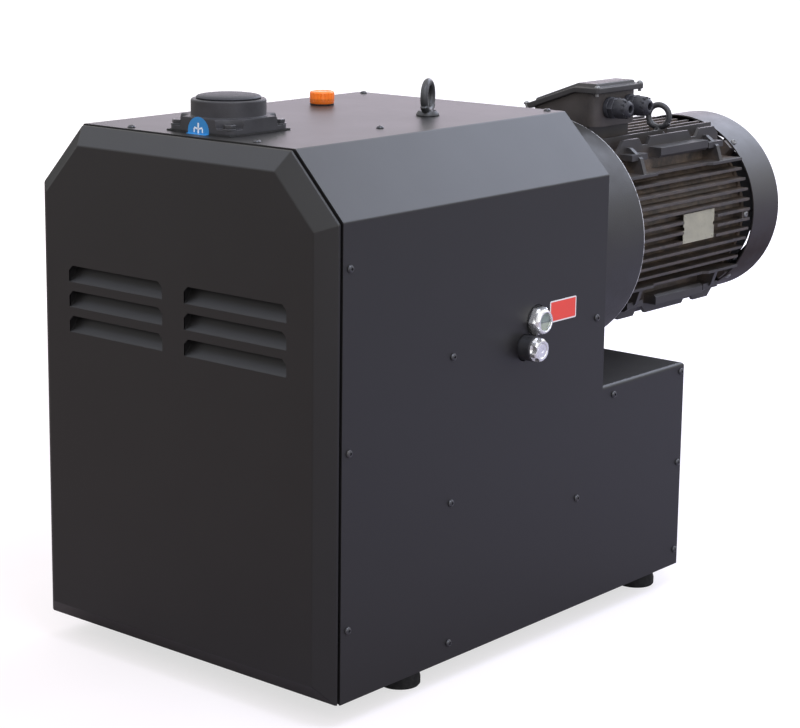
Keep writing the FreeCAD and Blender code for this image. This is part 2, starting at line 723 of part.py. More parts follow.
def rubber_feet():
    height = BASE_BOTTOM_Z
    feet = []
    for x, y in foot_places():
        foot = turned_z([
            (0, 0), (FOOT_R - 1.5, 0), (FOOT_R, 2), (FOOT_R, height * 0.3), (FOOT_NECK_R, height * 0.5),
            (FOOT_R, height * 0.72), (FOOT_R, height), (FOOT_STUD_R, height),
            (FOOT_STUD_R, height + FOOT_STUD_LENGTH), (0, height + FOOT_STUD_LENGTH),
        ], x, y)
        nut = hexagon(17, 8).translated(V(x, y, BASE_TOP_Z))
        feet.append(foot.cut(rod((x, y, -1), AZ, FOOT_HOLE_R, FOOT_HOLE_DEPTH + 1)))
        feet.append(nut.cut(rod((x, y, BASE_BOTTOM_Z), AZ, FOOT_STUD_R, 40)))
    return feet


def side_posts():
    """Folded posts and bars inside the sheets, which the panel screws go into."""
    base_z = BASE_TOP_Z
    shoulder_z = TOP_Z - CHAMFER_Z - 4
    rim = base_rim()
    posts = []
    for side in (-1, 1):
        def angle(x_out, y0, y1, z0, z1):
            legs = [(x_out, x_out - POST_SHEET, y0, y1),
                    (x_out, x_out - POST_WIDTH, y1 - POST_SHEET, y1)]
            return join([box(*sorted((side * a, side * b)), c, d, z0, z1) for a, b, c, d in legs])
        tab_x = HALF - 2 * SHEET
        front = angle(tab_x, HOOD_Y0 + SHEET, HOOD_Y0 + SHEET + POST_DEPTH, base_z, shoulder_z)
        mid = angle(HALF - SHEET, MID_POST_Y, MID_POST_Y + POST_DEPTH + 6, base_z, shoulder_z)
        short = angle(HALF - SHEET, SHORT_POST_Y, SHORT_POST_Y + POST_DEPTH, base_z, SHORT_POST_TOP_Z)
        clip = angle(HALF - SHEET, CLIP_Y, CLIP_Y + POST_DEPTH, CLIP_Z0, LOWER_TOP_Z - LOWER_FOLD_R)
        posts += [front.cut(rim), mid.cut(rim), short.cut(rim), clip]
    half = TOP_BAR_HALF
    for y0, y1 in ((HOOD_Y0 + SHEET, HOOD_Y0 + SHEET + POST_DEPTH), (MID_POST_Y + 12, MID_POST_Y + 42)):
        z1 = TOP_Z - SHEET
        plate = box(-half, half, y0, y1, z1 - POST_SHEET, z1)
        web = box(-half, half, y1 - POST_SHEET, y1, z1 - BAR_HEIGHT, z1)
        posts.append(join([plate, web]))
    return [p.cut(screw_holes()) for p in posts]


def pump_stand():
    """Two welded portals on the base, one under each end of the pump."""
    parts = []
    left, right = -HOUSING_R + 8, CENTRES + HOUSING_R - 8
    width, depth, wall, thick = STAND_LEG, STAND_DEPTH, STAND_WALL, STAND_PLATE
    z0, z1 = BASE_TOP_Z + thick / 2, STAND_TOP_Z - thick
    for y0 in (FRONT_PLATE_Y0 - 6, GEARBOX_Y1 - GEARBOX_FOOT):
        y1 = y0 + depth
        top = box(left, right, y0, y1, z1, STAND_TOP_Z)
        legs = []
        for x0 in (left, right - width):
            x1 = x0 + width
            leg = box(x0, x1, y0 + 2, y1 - 2, z0, z1)
            bore = box(x0 + wall, x1 - wall, y0 + 2 + wall, y1 - 2 - wall, z0, z1)
            foot = box(x0 - 10, x1 + 10, y0, y1, BASE_TOP_Z, z0)
            legs += [leg.cut(bore), foot]
        parts.append(join([top] + legs))
    parts[0] = parts[0].cut(rod((EXHAUST_X, PORT_Y, 0), AZ, EXHAUST_R + 1, TOP_Z))
    return parts


def claw_section(turn):
    """The wire of a two-lobed claw about the origin, in X and Z."""
    tip, root, pitch = CLAW_TIP_R - CLAW_GAP, CLAW_ROOT_R - CLAW_GAP, CENTRES / 2
    roll = pitch / 2
    lean_step = CLAW_GAP / pitch

    def hook(theta):
        x = CENTRES * math.cos(theta) - CLAW_TIP_R * math.cos(2 * theta)
        y = -CENTRES * math.sin(theta) + CLAW_TIP_R * math.sin(2 * theta)
        return x, y

    def back(t):
        x = (pitch + roll) * math.cos(t) - roll * math.cos((pitch + roll) * t / roll)
        y = (pitch + roll) * math.sin(t) - roll * math.sin((pitch + roll) * t / roll)
        return x, y

    def turn_to(point, angle):
        x, y = point
        return V(x * math.cos(angle) - y * math.sin(angle), 0,
                 x * math.sin(angle) + y * math.cos(angle))

    def polar(r, angle):
        return V(r * math.cos(angle), 0, r * math.sin(angle))

    hook_end = math.acos((CENTRES ** 2 + CLAW_TIP_R ** 2 - tip ** 2) / (2 * CENTRES * CLAW_TIP_R))
    reach = pitch + roll
    back_end = math.acos((reach ** 2 + roll ** 2 - tip ** 2) / (2 * roll * reach)) * roll / pitch
    edges = []
    for lobe in (0, math.pi):
        start = turn + lobe
        quarter = start + math.pi / 2 - lean_step
        hooks = [turn_to(hook(hook_end * k / 8), start + lean_step) for k in range(9)]
        end_x, end_y = back(back_end)
        backs = [turn_to((back(back_end * k / 6)[0], -back(back_end * k / 6)[1]),
                         quarter) for k in range(7)]
        inner = polar(root, start + lean_step)
        edges.append(Part.makeLine(inner, hooks[0]))
        flank = Part.BSplineCurve()
        flank.interpolate(hooks)
        edges.append(flank.toShape())
        hook_x, hook_y = hook(hook_end)
        tip_start = start + lean_step + math.atan2(hook_y, hook_x)
        tip_end = quarter - math.atan2(end_y, end_x)
        middle = (tip_start + tip_end) / 2
        edges.append(Part.Arc(hooks[-1], polar(tip, middle), backs[-1]).toShape())
        flank = Part.BSplineCurve()
        flank.interpolate(list(reversed(backs)))
        edges.append(flank.toShape())
        foot = polar(root, quarter)
        edges.append(Part.makeLine(backs[0], foot))
        next_inner = polar(root, start + math.pi + lean_step)
        edges.append(Part.Arc(foot, polar(root, (quarter + start + math.pi + lean_step) / 2),
                              next_inner).toShape())
    return Part.Wire(Part.__sortEdges__(edges))


def claw(x, turn):
    y0 = HOUSING_Y0 + SIDE_GAP
    length = CHAMBER_LENGTH - 2 * SIDE_GAP
    blank = Part.Face(claw_section(turn)).extrude(V(0, length, 0))
    body = blank.cut(rod((0, -1, 0), AY, SHAFT_MID_R, length + 2))
    return body.translated(V(x, y0, AXIS_Z))


def gear(x, turn):
    """A spur gear with involute teeth, turned so that the pair meshes."""
    pitch_r = GEAR_MODULE * GEAR_TEETH / 2
    base_r = pitch_r * math.cos(math.radians(GEAR_PRESSURE_DEG))
    tip_r, root_r = pitch_r + GEAR_MODULE, pitch_r - 1.25 * GEAR_MODULE

    def involute_angle(r):
        cosine = min(1.0, base_r / r)
        return math.tan(math.acos(cosine)) - math.acos(cosine)

    half_tooth = math.pi / 2 / GEAR_TEETH - GEAR_BACKLASH / 2 / pitch_r
    radii = [root_r, base_r + 0.05, pitch_r - 1, pitch_r + 1, tip_r]
    points = []
    for k in range(GEAR_TEETH):
        centre = turn + 2 * math.pi * k / GEAR_TEETH
        lean = [half_tooth + involute_angle(pitch_r) - involute_angle(r) for r in radii]
        points += [(r, centre - a) for r, a in zip(radii, lean)]
        points += [(r, centre + a) for r, a in reversed(list(zip(radii, lean)))]
    blank = prism_y([(r * math.cos(a), r * math.sin(a)) for r, a in points], 0, GEAR_WIDTH)
    recess_r = root_r - 8
    tools = [rod((0, -1, 0), AY, SHAFT_GEAR_R, GEAR_WIDTH + 2)]
    for y in (-1, GEAR_WIDTH - 7):
        tools.append(tube((0, y, 0), AY, recess_r, SHAFT_GEAR_R + 12, 8))
    for k in range(6):
        a = math.radians(60 * k)
        r = (recess_r + SHAFT_GEAR_R + 12) / 2
        tools.append(rod((r * math.cos(a), -1, r * math.sin(a)), AY, 7, GEAR_WIDTH + 2))
    return blank.cut(tools).translated(V(x, GEAR_Y0, AXIS_Z))


def driven_shaft():
    return turned_y([
        (0, FRONT_BEARING_Y), (SHAFT_FRONT_R, FRONT_BEARING_Y), (SHAFT_FRONT_R, HOUSING_Y0),
        (SHAFT_MID_R, HOUSING_Y0),
        (SHAFT_MID_R, HOUSING_Y1), (SHAFT_GEAR_R, HOUSING_Y1), (SHAFT_GEAR_R, GEAR_Y0 + GEAR_WIDTH),
        (SHAFT_REAR_R, GEAR_Y0 + GEAR_WIDTH), (SHAFT_REAR_R, REAR_BEARING_Y + BEARING_WIDTH),
        (0, REAR_BEARING_Y + BEARING_WIDTH),
    ], CENTRES)


def drive_shaft():
    return turned_y([
        (0, FAN_Y0 - 4), (SHAFT_FAN_R, FAN_Y0 - 4), (SHAFT_FAN_R, FAN_Y0 + FAN_WIDTH),
        (SHAFT_FRONT_R, FAN_Y0 + FAN_WIDTH), (SHAFT_FRONT_R, HOUSING_Y0), (SHAFT_MID_R, HOUSING_Y0),
        (SHAFT_MID_R, HOUSING_Y1), (SHAFT_GEAR_R, HOUSING_Y1), (SHAFT_GEAR_R, GEAR_Y0 + GEAR_WIDTH),
        (SHAFT_REAR_R, GEAR_Y0 + GEAR_WIDTH), (SHAFT_REAR_R, COUPLING_Y0 - 6),
        (SHAFT_COUPLING_R, COUPLING_Y0 - 6),
        (SHAFT_COUPLING_R, COUPLING_Y0 + HUB_LENGTH), (0, COUPLING_Y0 + HUB_LENGTH),
    ])


def bearing(x, y, r_in, r_out=BEARING_R, width=BEARING_WIDTH):
    """A sealed ball bearing as one ring, with the grooves between its rings and its shields."""
    mid_in, mid_out = r_in + (r_out - r_in) * 0.28, r_in + (r_out - r_in) * 0.72
    profile = [
        (r_in, y), (mid_in, y), (mid_in, y + 1), (mid_out, y + 1), (mid_out, y), (r_out, y),
        (r_out, y + width), (mid_out, y + width), (mid_out, y + width - 1), (mid_in, y + width - 1),
        (mid_in, y + width), (r_in, y + width),
    ]
    return turned_y(profile, x)


def shaft_bearings():
    rings = []
    for x in PUMP_AXES:
        rings.append(bearing(x, FRONT_BEARING_Y, SHAFT_FRONT_R + SHAFT_GAP))
        rings.append(bearing(x, INNER_BEARING_Y, SHAFT_GEAR_R + SHAFT_GAP))
        rings.append(bearing(x, REAR_BEARING_Y, SHAFT_REAR_R + SHAFT_GAP))
    for y in (MOTOR_BEARING_Y0, MOTOR_BEARING_Y1):
        rings.append(bearing(0, y, MOTOR_SHAFT_R + SHAFT_GAP, MOTOR_BEARING_R, MOTOR_BEARING_WIDTH))
    return rings


def shaft_seals():
    def seal(x, y, r_in):
        lip = r_in + 2
        return turned_y([
            (r_in, y + 3), (lip, y), (SEAL_R, y), (SEAL_R, y + SEAL_THICK), (lip + 3, y + SEAL_THICK),
            (lip + 3, y + 4), (r_in, y + 4),
        ], x)
    seals = [seal(x, FRONT_SEAL_Y, SHAFT_FRONT_R + SHAFT_GAP) for x in PUMP_AXES]
    seals += [seal(x, INNER_SEAL_Y, SHAFT_GEAR_R + SHAFT_GAP) for x in PUMP_AXES]
    seals.append(seal(0, COVER_SEAL_Y, SHAFT_REAR_R + SHAFT_GAP))
    return seals


def tie_bolt_places():
    """Places around the pump's outline, in X and Z, for the long housing bolts."""
    r = HOUSING_R - 7
    places = [(x, AXIS_Z + s * r) for x in PUMP_AXES for s in (-1, 1)]
    lean = math.radians(40)
    for x, side in ((0.0, -1), (CENTRES, 1)):
        places += [(x + side * r * math.cos(lean), AXIS_Z + s * r * math.sin(lean)) for s in (-1, 1)]
    return places


def tie_bolt_holes(y0, y1):
    return [rod((x, y0, z), AY, TIE_BOLT_R + HOLE_CLEARANCE, y1 - y0) for x, z in tie_bolt_places()]


def pump_housing():
    body = shaft_hull(HOUSING_R, HOUSING_Y0, HOUSING_Y1)
    pitch = CHAMBER_LENGTH / RIB_COUNT
    ribs = [shaft_hull(HOUSING_R + RIB_REACH, HOUSING_Y0 + pitch * (k + 0.5) - RIB_THICK / 2,
                       HOUSING_Y0 + pitch * (k + 0.5) + RIB_THICK / 2) for k in range(RIB_COUNT)]
    neck_y = (HOUSING_Y0 + HOUSING_Y1) / 2
    neck = rod((PUMP_X, neck_y, AXIS_Z), AZ, PIPE_R, PIPE_Z0 - AXIS_Z)
    shell = join([body] + ribs + [neck])
    chamber = [rod((x, HOUSING_Y0 - 1, AXIS_Z), AY, CLAW_TIP_R, CHAMBER_LENGTH + 2) for x in PUMP_AXES]
    port = rod((PUMP_X, neck_y, AXIS_Z), AZ, PORT_R, PIPE_Z0 - AXIS_Z + 1)
    return shell.cut(chamber + [port] + tie_bolt_holes(HOUSING_Y0 - 1, HOUSING_Y1 + 1))


def front_plate():
    y0, y1 = FRONT_PLATE_Y0, HOUSING_Y0
    plate = shaft_hull(HOUSING_R, y0, y1)
    pad = box(-HOUSING_R + 8, CENTRES + HOUSING_R - 8, y0, y1, STAND_TOP_Z, AXIS_Z - 40)
    body = join([plate, pad])
    tools = tie_bolt_holes(y0 - 1, y1 + 1)
    for x in PUMP_AXES:
        tools.append(rod((x, FRONT_BEARING_Y - 1, AXIS_Z), AY, BEARING_R, BEARING_WIDTH + 1))
        tools.append(rod((x, FRONT_SEAL_Y - 1, AXIS_Z), AY, SEAL_R, SEAL_THICK + 1))
        tools.append(rod((x, y0, AXIS_Z), AY, SHAFT_FRONT_R + SHAFT_HOLE_GAP, FRONT_PLATE_THICK + 1))
    port_z = AXIS_Z - CLAW_TIP_R + 22
    tools.append(rod((PUMP_X, PORT_Y, STAND_TOP_Z - 1), AZ, 12, port_z - STAND_TOP_Z + 1))
    tools.append(rod((PUMP_X, PORT_Y, port_z), AY, 12, FRONT_PLATE_THICK))
    return body.cut(tools)


def gearbox_housing():
    y0, y1 = HOUSING_Y1, GEARBOX_Y1
    outer_r = GEARBOX_CAVITY_R + GEARBOX_WALL
    front_y1 = y0 + GEARBOX_FRONT_WALL
    wall = shaft_hull(HOUSING_R, y0, front_y1)
    case = shaft_hull(outer_r, y0, y1)
    sump = box(-outer_r, CENTRES + outer_r, y0, y1, SUMP_BOTTOM_Z, AXIS_Z)
    feet = box(-HOUSING_R + 8, CENTRES + HOUSING_R - 8, y1 - GEARBOX_FOOT, y1, STAND_TOP_Z,
               SUMP_BOTTOM_Z + 12)
    bosses = [rod((CENTRES, GLASS_Y, GLASS_Z), AX, 22, BOSS_END_X - CENTRES),
              rod((CENTRES, DRAIN_Y, DRAIN_Z), AX, 15.5, BOSS_END_X - CENTRES)]
    column = rod((EYE_X, EYE_Y, AXIS_Z), AZ, EYE_COLUMN_R, TOP_Z - SHEET - AXIS_Z)
    shoulder = box(FILLER_X - 20, -40, FILLER_Y - 20, FILLER_Y + 20, AXIS_Z - 20, AXIS_Z + 50)
    body = join([wall, case, sump, feet, column, shoulder] + bosses)
    hollow = shaft_hull(GEARBOX_CAVITY_R, front_y1, y1 + 1)
    pit = box(-GEARBOX_CAVITY_R, CENTRES + GEARBOX_CAVITY_R, front_y1, y1 + 1,
              SUMP_BOTTOM_Z + GEARBOX_WALL, AXIS_Z)
    tools = [hollow, pit] + tie_bolt_holes(y0 - 1, front_y1 + 1)
    for x in PUMP_AXES:
        tools.append(rod((x, INNER_BEARING_Y, AXIS_Z), AY, BEARING_R, BEARING_WIDTH + 1))
        tools.append(rod((x, INNER_SEAL_Y, AXIS_Z), AY, SEAL_R, SEAL_THICK + 1))
        tools.append(rod((x, y0 - 1, AXIS_Z), AY, SHAFT_GEAR_R + SHAFT_HOLE_GAP, 20))
    tools.append(rod((CENTRES, GLASS_Y, GLASS_Z), AX, GLASS_LENS_R, BOSS_END_X))
    tools.append(rod((CENTRES, DRAIN_Y, DRAIN_Z), AX, 8, BOSS_END_X))
    tools.append(rod((FILLER_X, FILLER_Y, AXIS_Z), AZ, FILLER_R - FILLER_WALL, 80))
    tools.append(rod((FILLER_X, FILLER_Y, AXIS_Z + 12), AX, FILLER_R - FILLER_WALL - 1, 60))
    tools.append(rod((EYE_X, EYE_Y, TOP_Z - SHEET - 22), AZ, EYE_SHANK_R, 40))
    return body.cut(tools)


def gearbox_cover():
    outer_r = GEARBOX_CAVITY_R + GEARBOX_WALL
    plate = shaft_hull(outer_r, GEARBOX_Y1, COVER_Y1)
    sump = box(-outer_r, CENTRES + outer_r, GEARBOX_Y1, COVER_Y1, SUMP_BOTTOM_Z, AXIS_Z)
    carriers = [rod((x, REAR_BEARING_Y, AXIS_Z), AY, BEARING_R + 8, 20) for x in PUMP_AXES]
    body = join([plate, sump] + carriers)
    tools = [rod((x, REAR_BEARING_Y - 1, AXIS_Z), AY, BEARING_R, BEARING_WIDTH + 1) for x in PUMP_AXES]
    tools.append(rod((0, COVER_SEAL_Y - 1, AXIS_Z), AY, SEAL_R, SEAL_THICK + 1))
    tools.append(rod((0, COVER_SEAL_Y, AXIS_Z), AY, SHAFT_REAR_R + SHAFT_HOLE_GAP, 40))
    for x, z in bell_bolt_places():
        tools.append(rod((x, GEARBOX_Y1 + 2, z), AY, TIE_BOLT_R, 40))
    return body.cut(tools)


def bell_bolt_places():
    r = BELL_FOOT_R - 9
    quarters = [math.pi / 4 + k * math.pi / 2 for k in range(4)]
    return [(r * math.cos(a), AXIS_Z + r * math.sin(a)) for a in quarters]


def motor_bolt_places():
    r = MOTOR_FLANGE_PCD / 2
    quarters = [math.pi / 4 + k * math.pi / 2 for k in range(4)]
    return [(r * math.cos(a), AXIS_Z + r * math.sin(a)) for a in quarters]


def housing_bolts():
    bolts = []
    length = CHAMBER_LENGTH + FRONT_PLATE_THICK + 16
    for x, z in tie_bolt_places():
        bolts.append(hex_bolt((x, FRONT_PLATE_Y0, z), V(0, -1, 0), TIE_BOLT_R, 13, 5.5, length))
    for x, z in bell_bolt_places():
        bolts.append(hex_bolt((x, COVER_Y1 + BELL_FOOT, z), AY, TIE_BOLT_R, 13, 5.5, BELL_FOOT + 12))
    for x, z in motor_bolt_places():
        bolts.append(hex_bolt((x, MOTOR_FACE_Y - BELL_LAND, z), V(0, -1, 0), MOTOR_BOLT_R, 19, 8,
                              BELL_LAND + MOTOR_FLANGE_THICK - 1))
    return bolts


def bell_housing():
    y0 = COVER_Y1
    land_y = MOTOR_FACE_Y - BELL_LAND
    inner_foot = SEAL_R + 8
    shell = turned_y([
        (inner_foot, y0), (BELL_FOOT_R, y0), (BELL_FOOT_R + 8, y0 + BELL_FOOT),
        (BELL_R - 4, BELL_CONE_Y),
        (BELL_R, BELL_CONE_Y + 6), (BELL_R, BELL_END_Y - 2), (BELL_R - 2, BELL_END_Y),
        (MOTOR_FLANGE_R + 0.5, BELL_END_Y), (MOTOR_FLANGE_R + 0.5, MOTOR_FACE_Y),
        (BELL_SPIGOT_R, MOTOR_FACE_Y),
        (BELL_SPIGOT_R, land_y), (BELL_INNER_R, land_y), (BELL_INNER_R, BELL_CONE_Y + 14),
        (BELL_FOOT_R + 2, y0 + BELL_FOOT), (inner_foot, y0 + BELL_FOOT),
    ])
    tools = [rod((x, y0 - 1, z), AY, TIE_BOLT_R + HOLE_CLEARANCE, BELL_FOOT + 2) for x,
             z in bell_bolt_places()]
    tools += [rod((x, land_y - 1, z), AY, MOTOR_BOLT_R + HOLE_CLEARANCE, BELL_LAND + 2) for x,
              z in motor_bolt_places()]
    return shell.cut(tools)


def coupling_hub(y_back, y_face, shaft_r):
    """A hub with three jaws on its face."""
    step = 1 if y_face > y_back else -1
    direction = V(0, step, 0)
    length = abs(y_face - y_back)
    hub = rod((0, y_back, AXIS_Z), direction, HUB_R, length)
    jaws = []
    for k in range(3):
        middle = 120 * k + (0 if step > 0 else 60)
        jaws.append(jaw(y_face, HUB_GAP - 1.5, step, middle, 40))
    body = join([hub] + jaws)
    return body.cut(rod((0, y_back - step, AXIS_Z), direction, shaft_r, length + HUB_GAP + 2))


def jaw(y_face, height, step, middle, width_deg):
    """A sector between the spider's core and the hub's rim."""
    r0, r1 = HUB_R * 0.5, HUB_R
    a0, a1 = math.radians(middle - width_deg / 2), math.radians(middle + width_deg / 2)
    mid = math.radians(middle)

    def at(r, a):
        return V(r * math.cos(a), y_face, AXIS_Z + r * math.sin(a))

    edges = [
        Part.makeLine(at(r0, a0), at(r1, a0)), Part.Arc(at(r1, a0), at(r1, mid), at(r1, a1)).toShape(),
        Part.makeLine(at(r1, a1), at(r0, a1)), Part.Arc(at(r0, a1), at(r0, mid), at(r0, a0)).toShape(),
    ]
    return Part.Face(Part.Wire(edges)).extrude(V(0, step * height, 0))


def coupling_hubs():
    face = COUPLING_Y0 + HUB_LENGTH
    pump_side = coupling_hub(COUPLING_Y0, face, SHAFT_COUPLING_R)
    motor_side = coupling_hub(face + HUB_GAP + HUB_LENGTH, face + HUB_GAP, MOTOR_SHAFT_R)
    return [pump_side, motor_side]


def coupling_spider():
    y = COUPLING_Y0 + HUB_LENGTH + 1.0
    width = HUB_GAP - 2.0
    core = tube((0, y, AXIS_Z), AY, HUB_R * 0.5 - JAW_GAP, MOTOR_SHAFT_R * 0.6, width)
    arms = []
    for k in range(SPIDER_JAWS):
        arm = jaw(y, width, 1, 60 * k + 30, 19)
        arms.append(arm.common(tube((0, y, AXIS_Z), AY, HUB_R - 1, HUB_R * 0.5 - 2, width)))
    bridge = tube((0, y, AXIS_Z), AY, HUB_R * 0.5 + 1, MOTOR_SHAFT_R * 0.6, width)
    bridges = [bridge.common(sector(y, width, 60 * k + 30, 19)) for k in range(SPIDER_JAWS)]
    return join([core] + arms + bridges)


def sector(y, width, middle, width_deg):
    a0, a1 = math.radians(middle - width_deg / 2), math.radians(middle + width_deg / 2)
    r = HUB_R * 2
    points = [(0, AXIS_Z)] + [(r * math.cos(a), AXIS_Z + r * math.sin(a)) for a in (a0, a1)]
    return prism_y(points, y, y + width)


def cooling_fan():
    y0, y1 = FAN_Y0, FAN_Y0 + FAN_WIDTH
    hub = tube((0, y0, AXIS_Z), AY, FAN_HUB_R, SHAFT_FAN_R, FAN_WIDTH)
    back = tube((0, y1 - FAN_SHEET, AXIS_Z), AY, FAN_R, SHAFT_FAN_R, FAN_SHEET)
    blades = []
    for k in range(FAN_BLADES):
        blade = box(FAN_HUB_R - 2, FAN_R - 2, y0 + 4, y1, AXIS_Z - FAN_SHEET / 2,
                    AXIS_Z + FAN_SHEET / 2)
        blade.rotate(V(0, 0, AXIS_Z), AY, 360.0 * k / FAN_BLADES)
        blades.append(blade)
    return join([hub, back] + blades)


def inlet_corner_places():
    return [(sx * INLET_BOLT, INLET_Y + sy * INLET_BOLT) for sx in (-1, 1) for sy in (-1, 1)]


def inlet_gasket():
    z = TOP_Z
    sheet = box(-INLET_HALF, INLET_HALF, INLET_Y - INLET_HALF, INLET_Y + INLET_HALF, z,
                z + GASKET_THICK)
    tools = [rod((0, INLET_Y, z - 1), AZ, INLET_OPENING_R, 10)]
    tools += [rod((x, y, z - 1), AZ, INLET_BOLT_R + HOLE_CLEARANCE, 10) for x,
              y in inlet_corner_places()]
    return sheet.cut(tools)


def inlet_flange():
    z = TOP_Z + GASKET_THICK
    half = INLET_HALF
    block = box(-half, half, INLET_Y - half, INLET_Y + half, z, TOP_Z + INLET_BLOCK_TOP)
    corners = [e for e in block.Edges if abs(e.Vertexes[0].Z - e.Vertexes[-1].Z) > 1]
    block = block.makeFillet(half - INLET_BOLT + 3, corners)
    pockets = [rod((x, y, z + INLET_PLATE), AZ, INLET_POCKET_R, 40) for x, y in inlet_corner_places()]
    collar_top = TOP_Z + INLET_COLLAR_TOP
    collar = turned_z([
        (0, z), (INLET_COLLAR_R - 8, z), (INLET_COLLAR_R - 8, z + 8), (INLET_COLLAR_R, z + 8),
        (INLET_COLLAR_R, collar_top - 2), (INLET_COLLAR_R - 2, collar_top), (0, collar_top),
    ], 0, INLET_Y)
    body = join([block.cut(pockets), collar])
    tools = [rod((0, INLET_Y, z - 1), AZ, INLET_SEAT_R, 60),
             rod((0, INLET_Y, z + INLET_SEAT_THICK), AZ, INLET_BORE_R, 60),
             rod((0, INLET_Y, collar_top - INLET_SOCKET_DEPTH), AZ, INLET_SOCKET_R, 60)]
    tools += [rod((x, y, z - 1), AZ, INLET_BOLT_R + HOLE_CLEARANCE, 30) for x,
              y in inlet_corner_places()]
    return body.cut(tools)


def inlet_bolts():
    z = TOP_Z + GASKET_THICK + INLET_PLATE
    length = z - TOP_Z + SHEET + PIPE_FLANGE
    return [hex_bolt((x, y, z), AZ, INLET_BOLT_R, 16, 6.5, length) for x, y in inlet_corner_places()]


def inlet_cap():
    z = TOP_Z + INLET_COLLAR_TOP
    r = INLET_SOCKET_R - CAP_CLEARANCE
    return turned_z([
        (0, z - CAP_WALL), (r - CAP_WALL, z - CAP_WALL), (r - CAP_WALL, z - CAP_DEPTH),
        (r, z - CAP_DEPTH), (r, z),
        (CAP_FLANGE_R, z), (CAP_FLANGE_R + 0.4, z + 1.2),
        (CAP_FLANGE_R - 0.8, z + CAP_FLANGE_THICK - 0.5),
        (CAP_FLANGE_R - 4, z + CAP_FLANGE_THICK), (CAP_FLANGE_R - 14, z + CAP_FLANGE_THICK * 0.72),
        (0, z + 1.2),
    ], 0, INLET_Y)


def inlet_pipe():
    """The cast duct from the inlet flange to the pump housing, with the valve guide across it."""
    neck_y = (HOUSING_Y0 + HOUSING_Y1) / 2
    top = TOP_Z - SHEET
    duct = stadium(0, INLET_Y, PUMP_X, neck_y, PIPE_R, PIPE_Z0, PIPE_DUCT_TOP_Z)
    riser = rod((0, INLET_Y, PIPE_Z0), AZ, PIPE_R, top - PIPE_Z0)
    flange = box(-INLET_HALF, INLET_HALF, INLET_Y - INLET_HALF + 6, INLET_Y + INLET_HALF,
                 top - PIPE_FLANGE, top)
    body = join([duct, riser, flange])
    bore_r = PIPE_R - PIPE_WALL
    hollow = stadium(0, INLET_Y, PUMP_X, neck_y, bore_r, PIPE_Z0 + PIPE_WALL,
                     PIPE_DUCT_TOP_Z - PIPE_WALL)
    tools = [hollow, rod((0, INLET_Y, PIPE_Z0 + PIPE_WALL), AZ, bore_r, 200)]
    tools.append(rod((PUMP_X, neck_y, PIPE_Z0 - 1), AZ, PORT_R, 20))
    tools += [rod((x, y, top - PIPE_FLANGE - 1), AZ, INLET_BOLT_R, 40) for x,
              y in inlet_corner_places()]
    body = body.cut(tools)
    guide_z = TOP_Z - VALVE_GUIDE_TOP
    guide = box(-PIPE_R + 1, PIPE_R - 1, INLET_Y - 8, INLET_Y + 8, guide_z - 8, guide_z)
    guide = guide.common(rod((0, INLET_Y, guide_z - 10), AZ, PIPE_R - 1, 20))
    body = join([body, guide])
    return body.cut(rod((0, INLET_Y, guide_z - 20), AZ, VALVE_STEM_R + SHAFT_GAP, 40))


def valve_disc():
    z = TOP_Z + GASKET_THICK
    low = TOP_Z - VALVE_GUIDE_TOP - 14
    under = z - VALVE_DISC_THICK
    return turned_z([
        (0, low), (VALVE_STEM_R, low), (VALVE_STEM_R, under), (VALVE_DISC_R, under),
        (VALVE_DISC_R, z), (0, z),
    ], 0, INLET_Y)


def valve_spring():
    z0 = TOP_Z - VALVE_GUIDE_TOP + SPRING_WIRE_R
    z1 = TOP_Z + GASKET_THICK - VALVE_DISC_THICK - SPRING_WIRE_R
    helix = Part.makeHelix((z1 - z0) / SPRING_TURNS, z1 - z0, SPRING_R)
    start = helix.Edges[0].valueAt(helix.Edges[0].FirstParameter)
    section = Part.Wire(Part.makeCircle(SPRING_WIRE_R, start, AY))
    coil = Part.Wire(helix.Edges).makePipeShell([section], True, True)
    return coil.translated(V(0, INLET_Y, z0))


def oil_filler():
    z0 = AXIS_Z + 50
    z1 = TOP_Z + 6
    neck = tube((FILLER_X, FILLER_Y, z0 - 14), AZ, FILLER_R - FILLER_WALL,
                FILLER_R - 2 * FILLER_WALL, 20)
    barrel = tube((FILLER_X, FILLER_Y, z0), AZ, FILLER_R, FILLER_R - 2 * FILLER_WALL, z1 - z0)
    return join([barrel, neck])


def oil_cap():
    z0 = TOP_Z + 0.3
    z1 = TOP_Z + OIL_CAP_H
    seat = TOP_Z + 6
    body = turned_z([
        (0, seat - 12), (FILLER_R - 2 * FILLER_WALL - 0.3, seat - 12),
        (FILLER_R - 2 * FILLER_WALL - 0.3, seat),
        (FILLER_R + 0.4, seat), (FILLER_R + 0.4, z0), (OIL_CAP_R - 1, z0), (OIL_CAP_R - 1, z1 - 2),
        (OIL_CAP_R - 3, z1), (0, z1),
    ], FILLER_X, FILLER_Y)
    ribs = []
    for k in range(OIL_CAP_RIBS):
        a = 2 * math.pi * k / OIL_CAP_RIBS
        r = OIL_CAP_R - 1.4
        ribs.append(rod((FILLER_X + r * math.cos(a), FILLER_Y + r * math.sin(a), z0), AZ, 1.4,
                        z1 - z0 - 2.5))
    return join([body] + ribs)


def along_x(points, y, z):
    return turned(points, (0, y, z), AX, AZ)


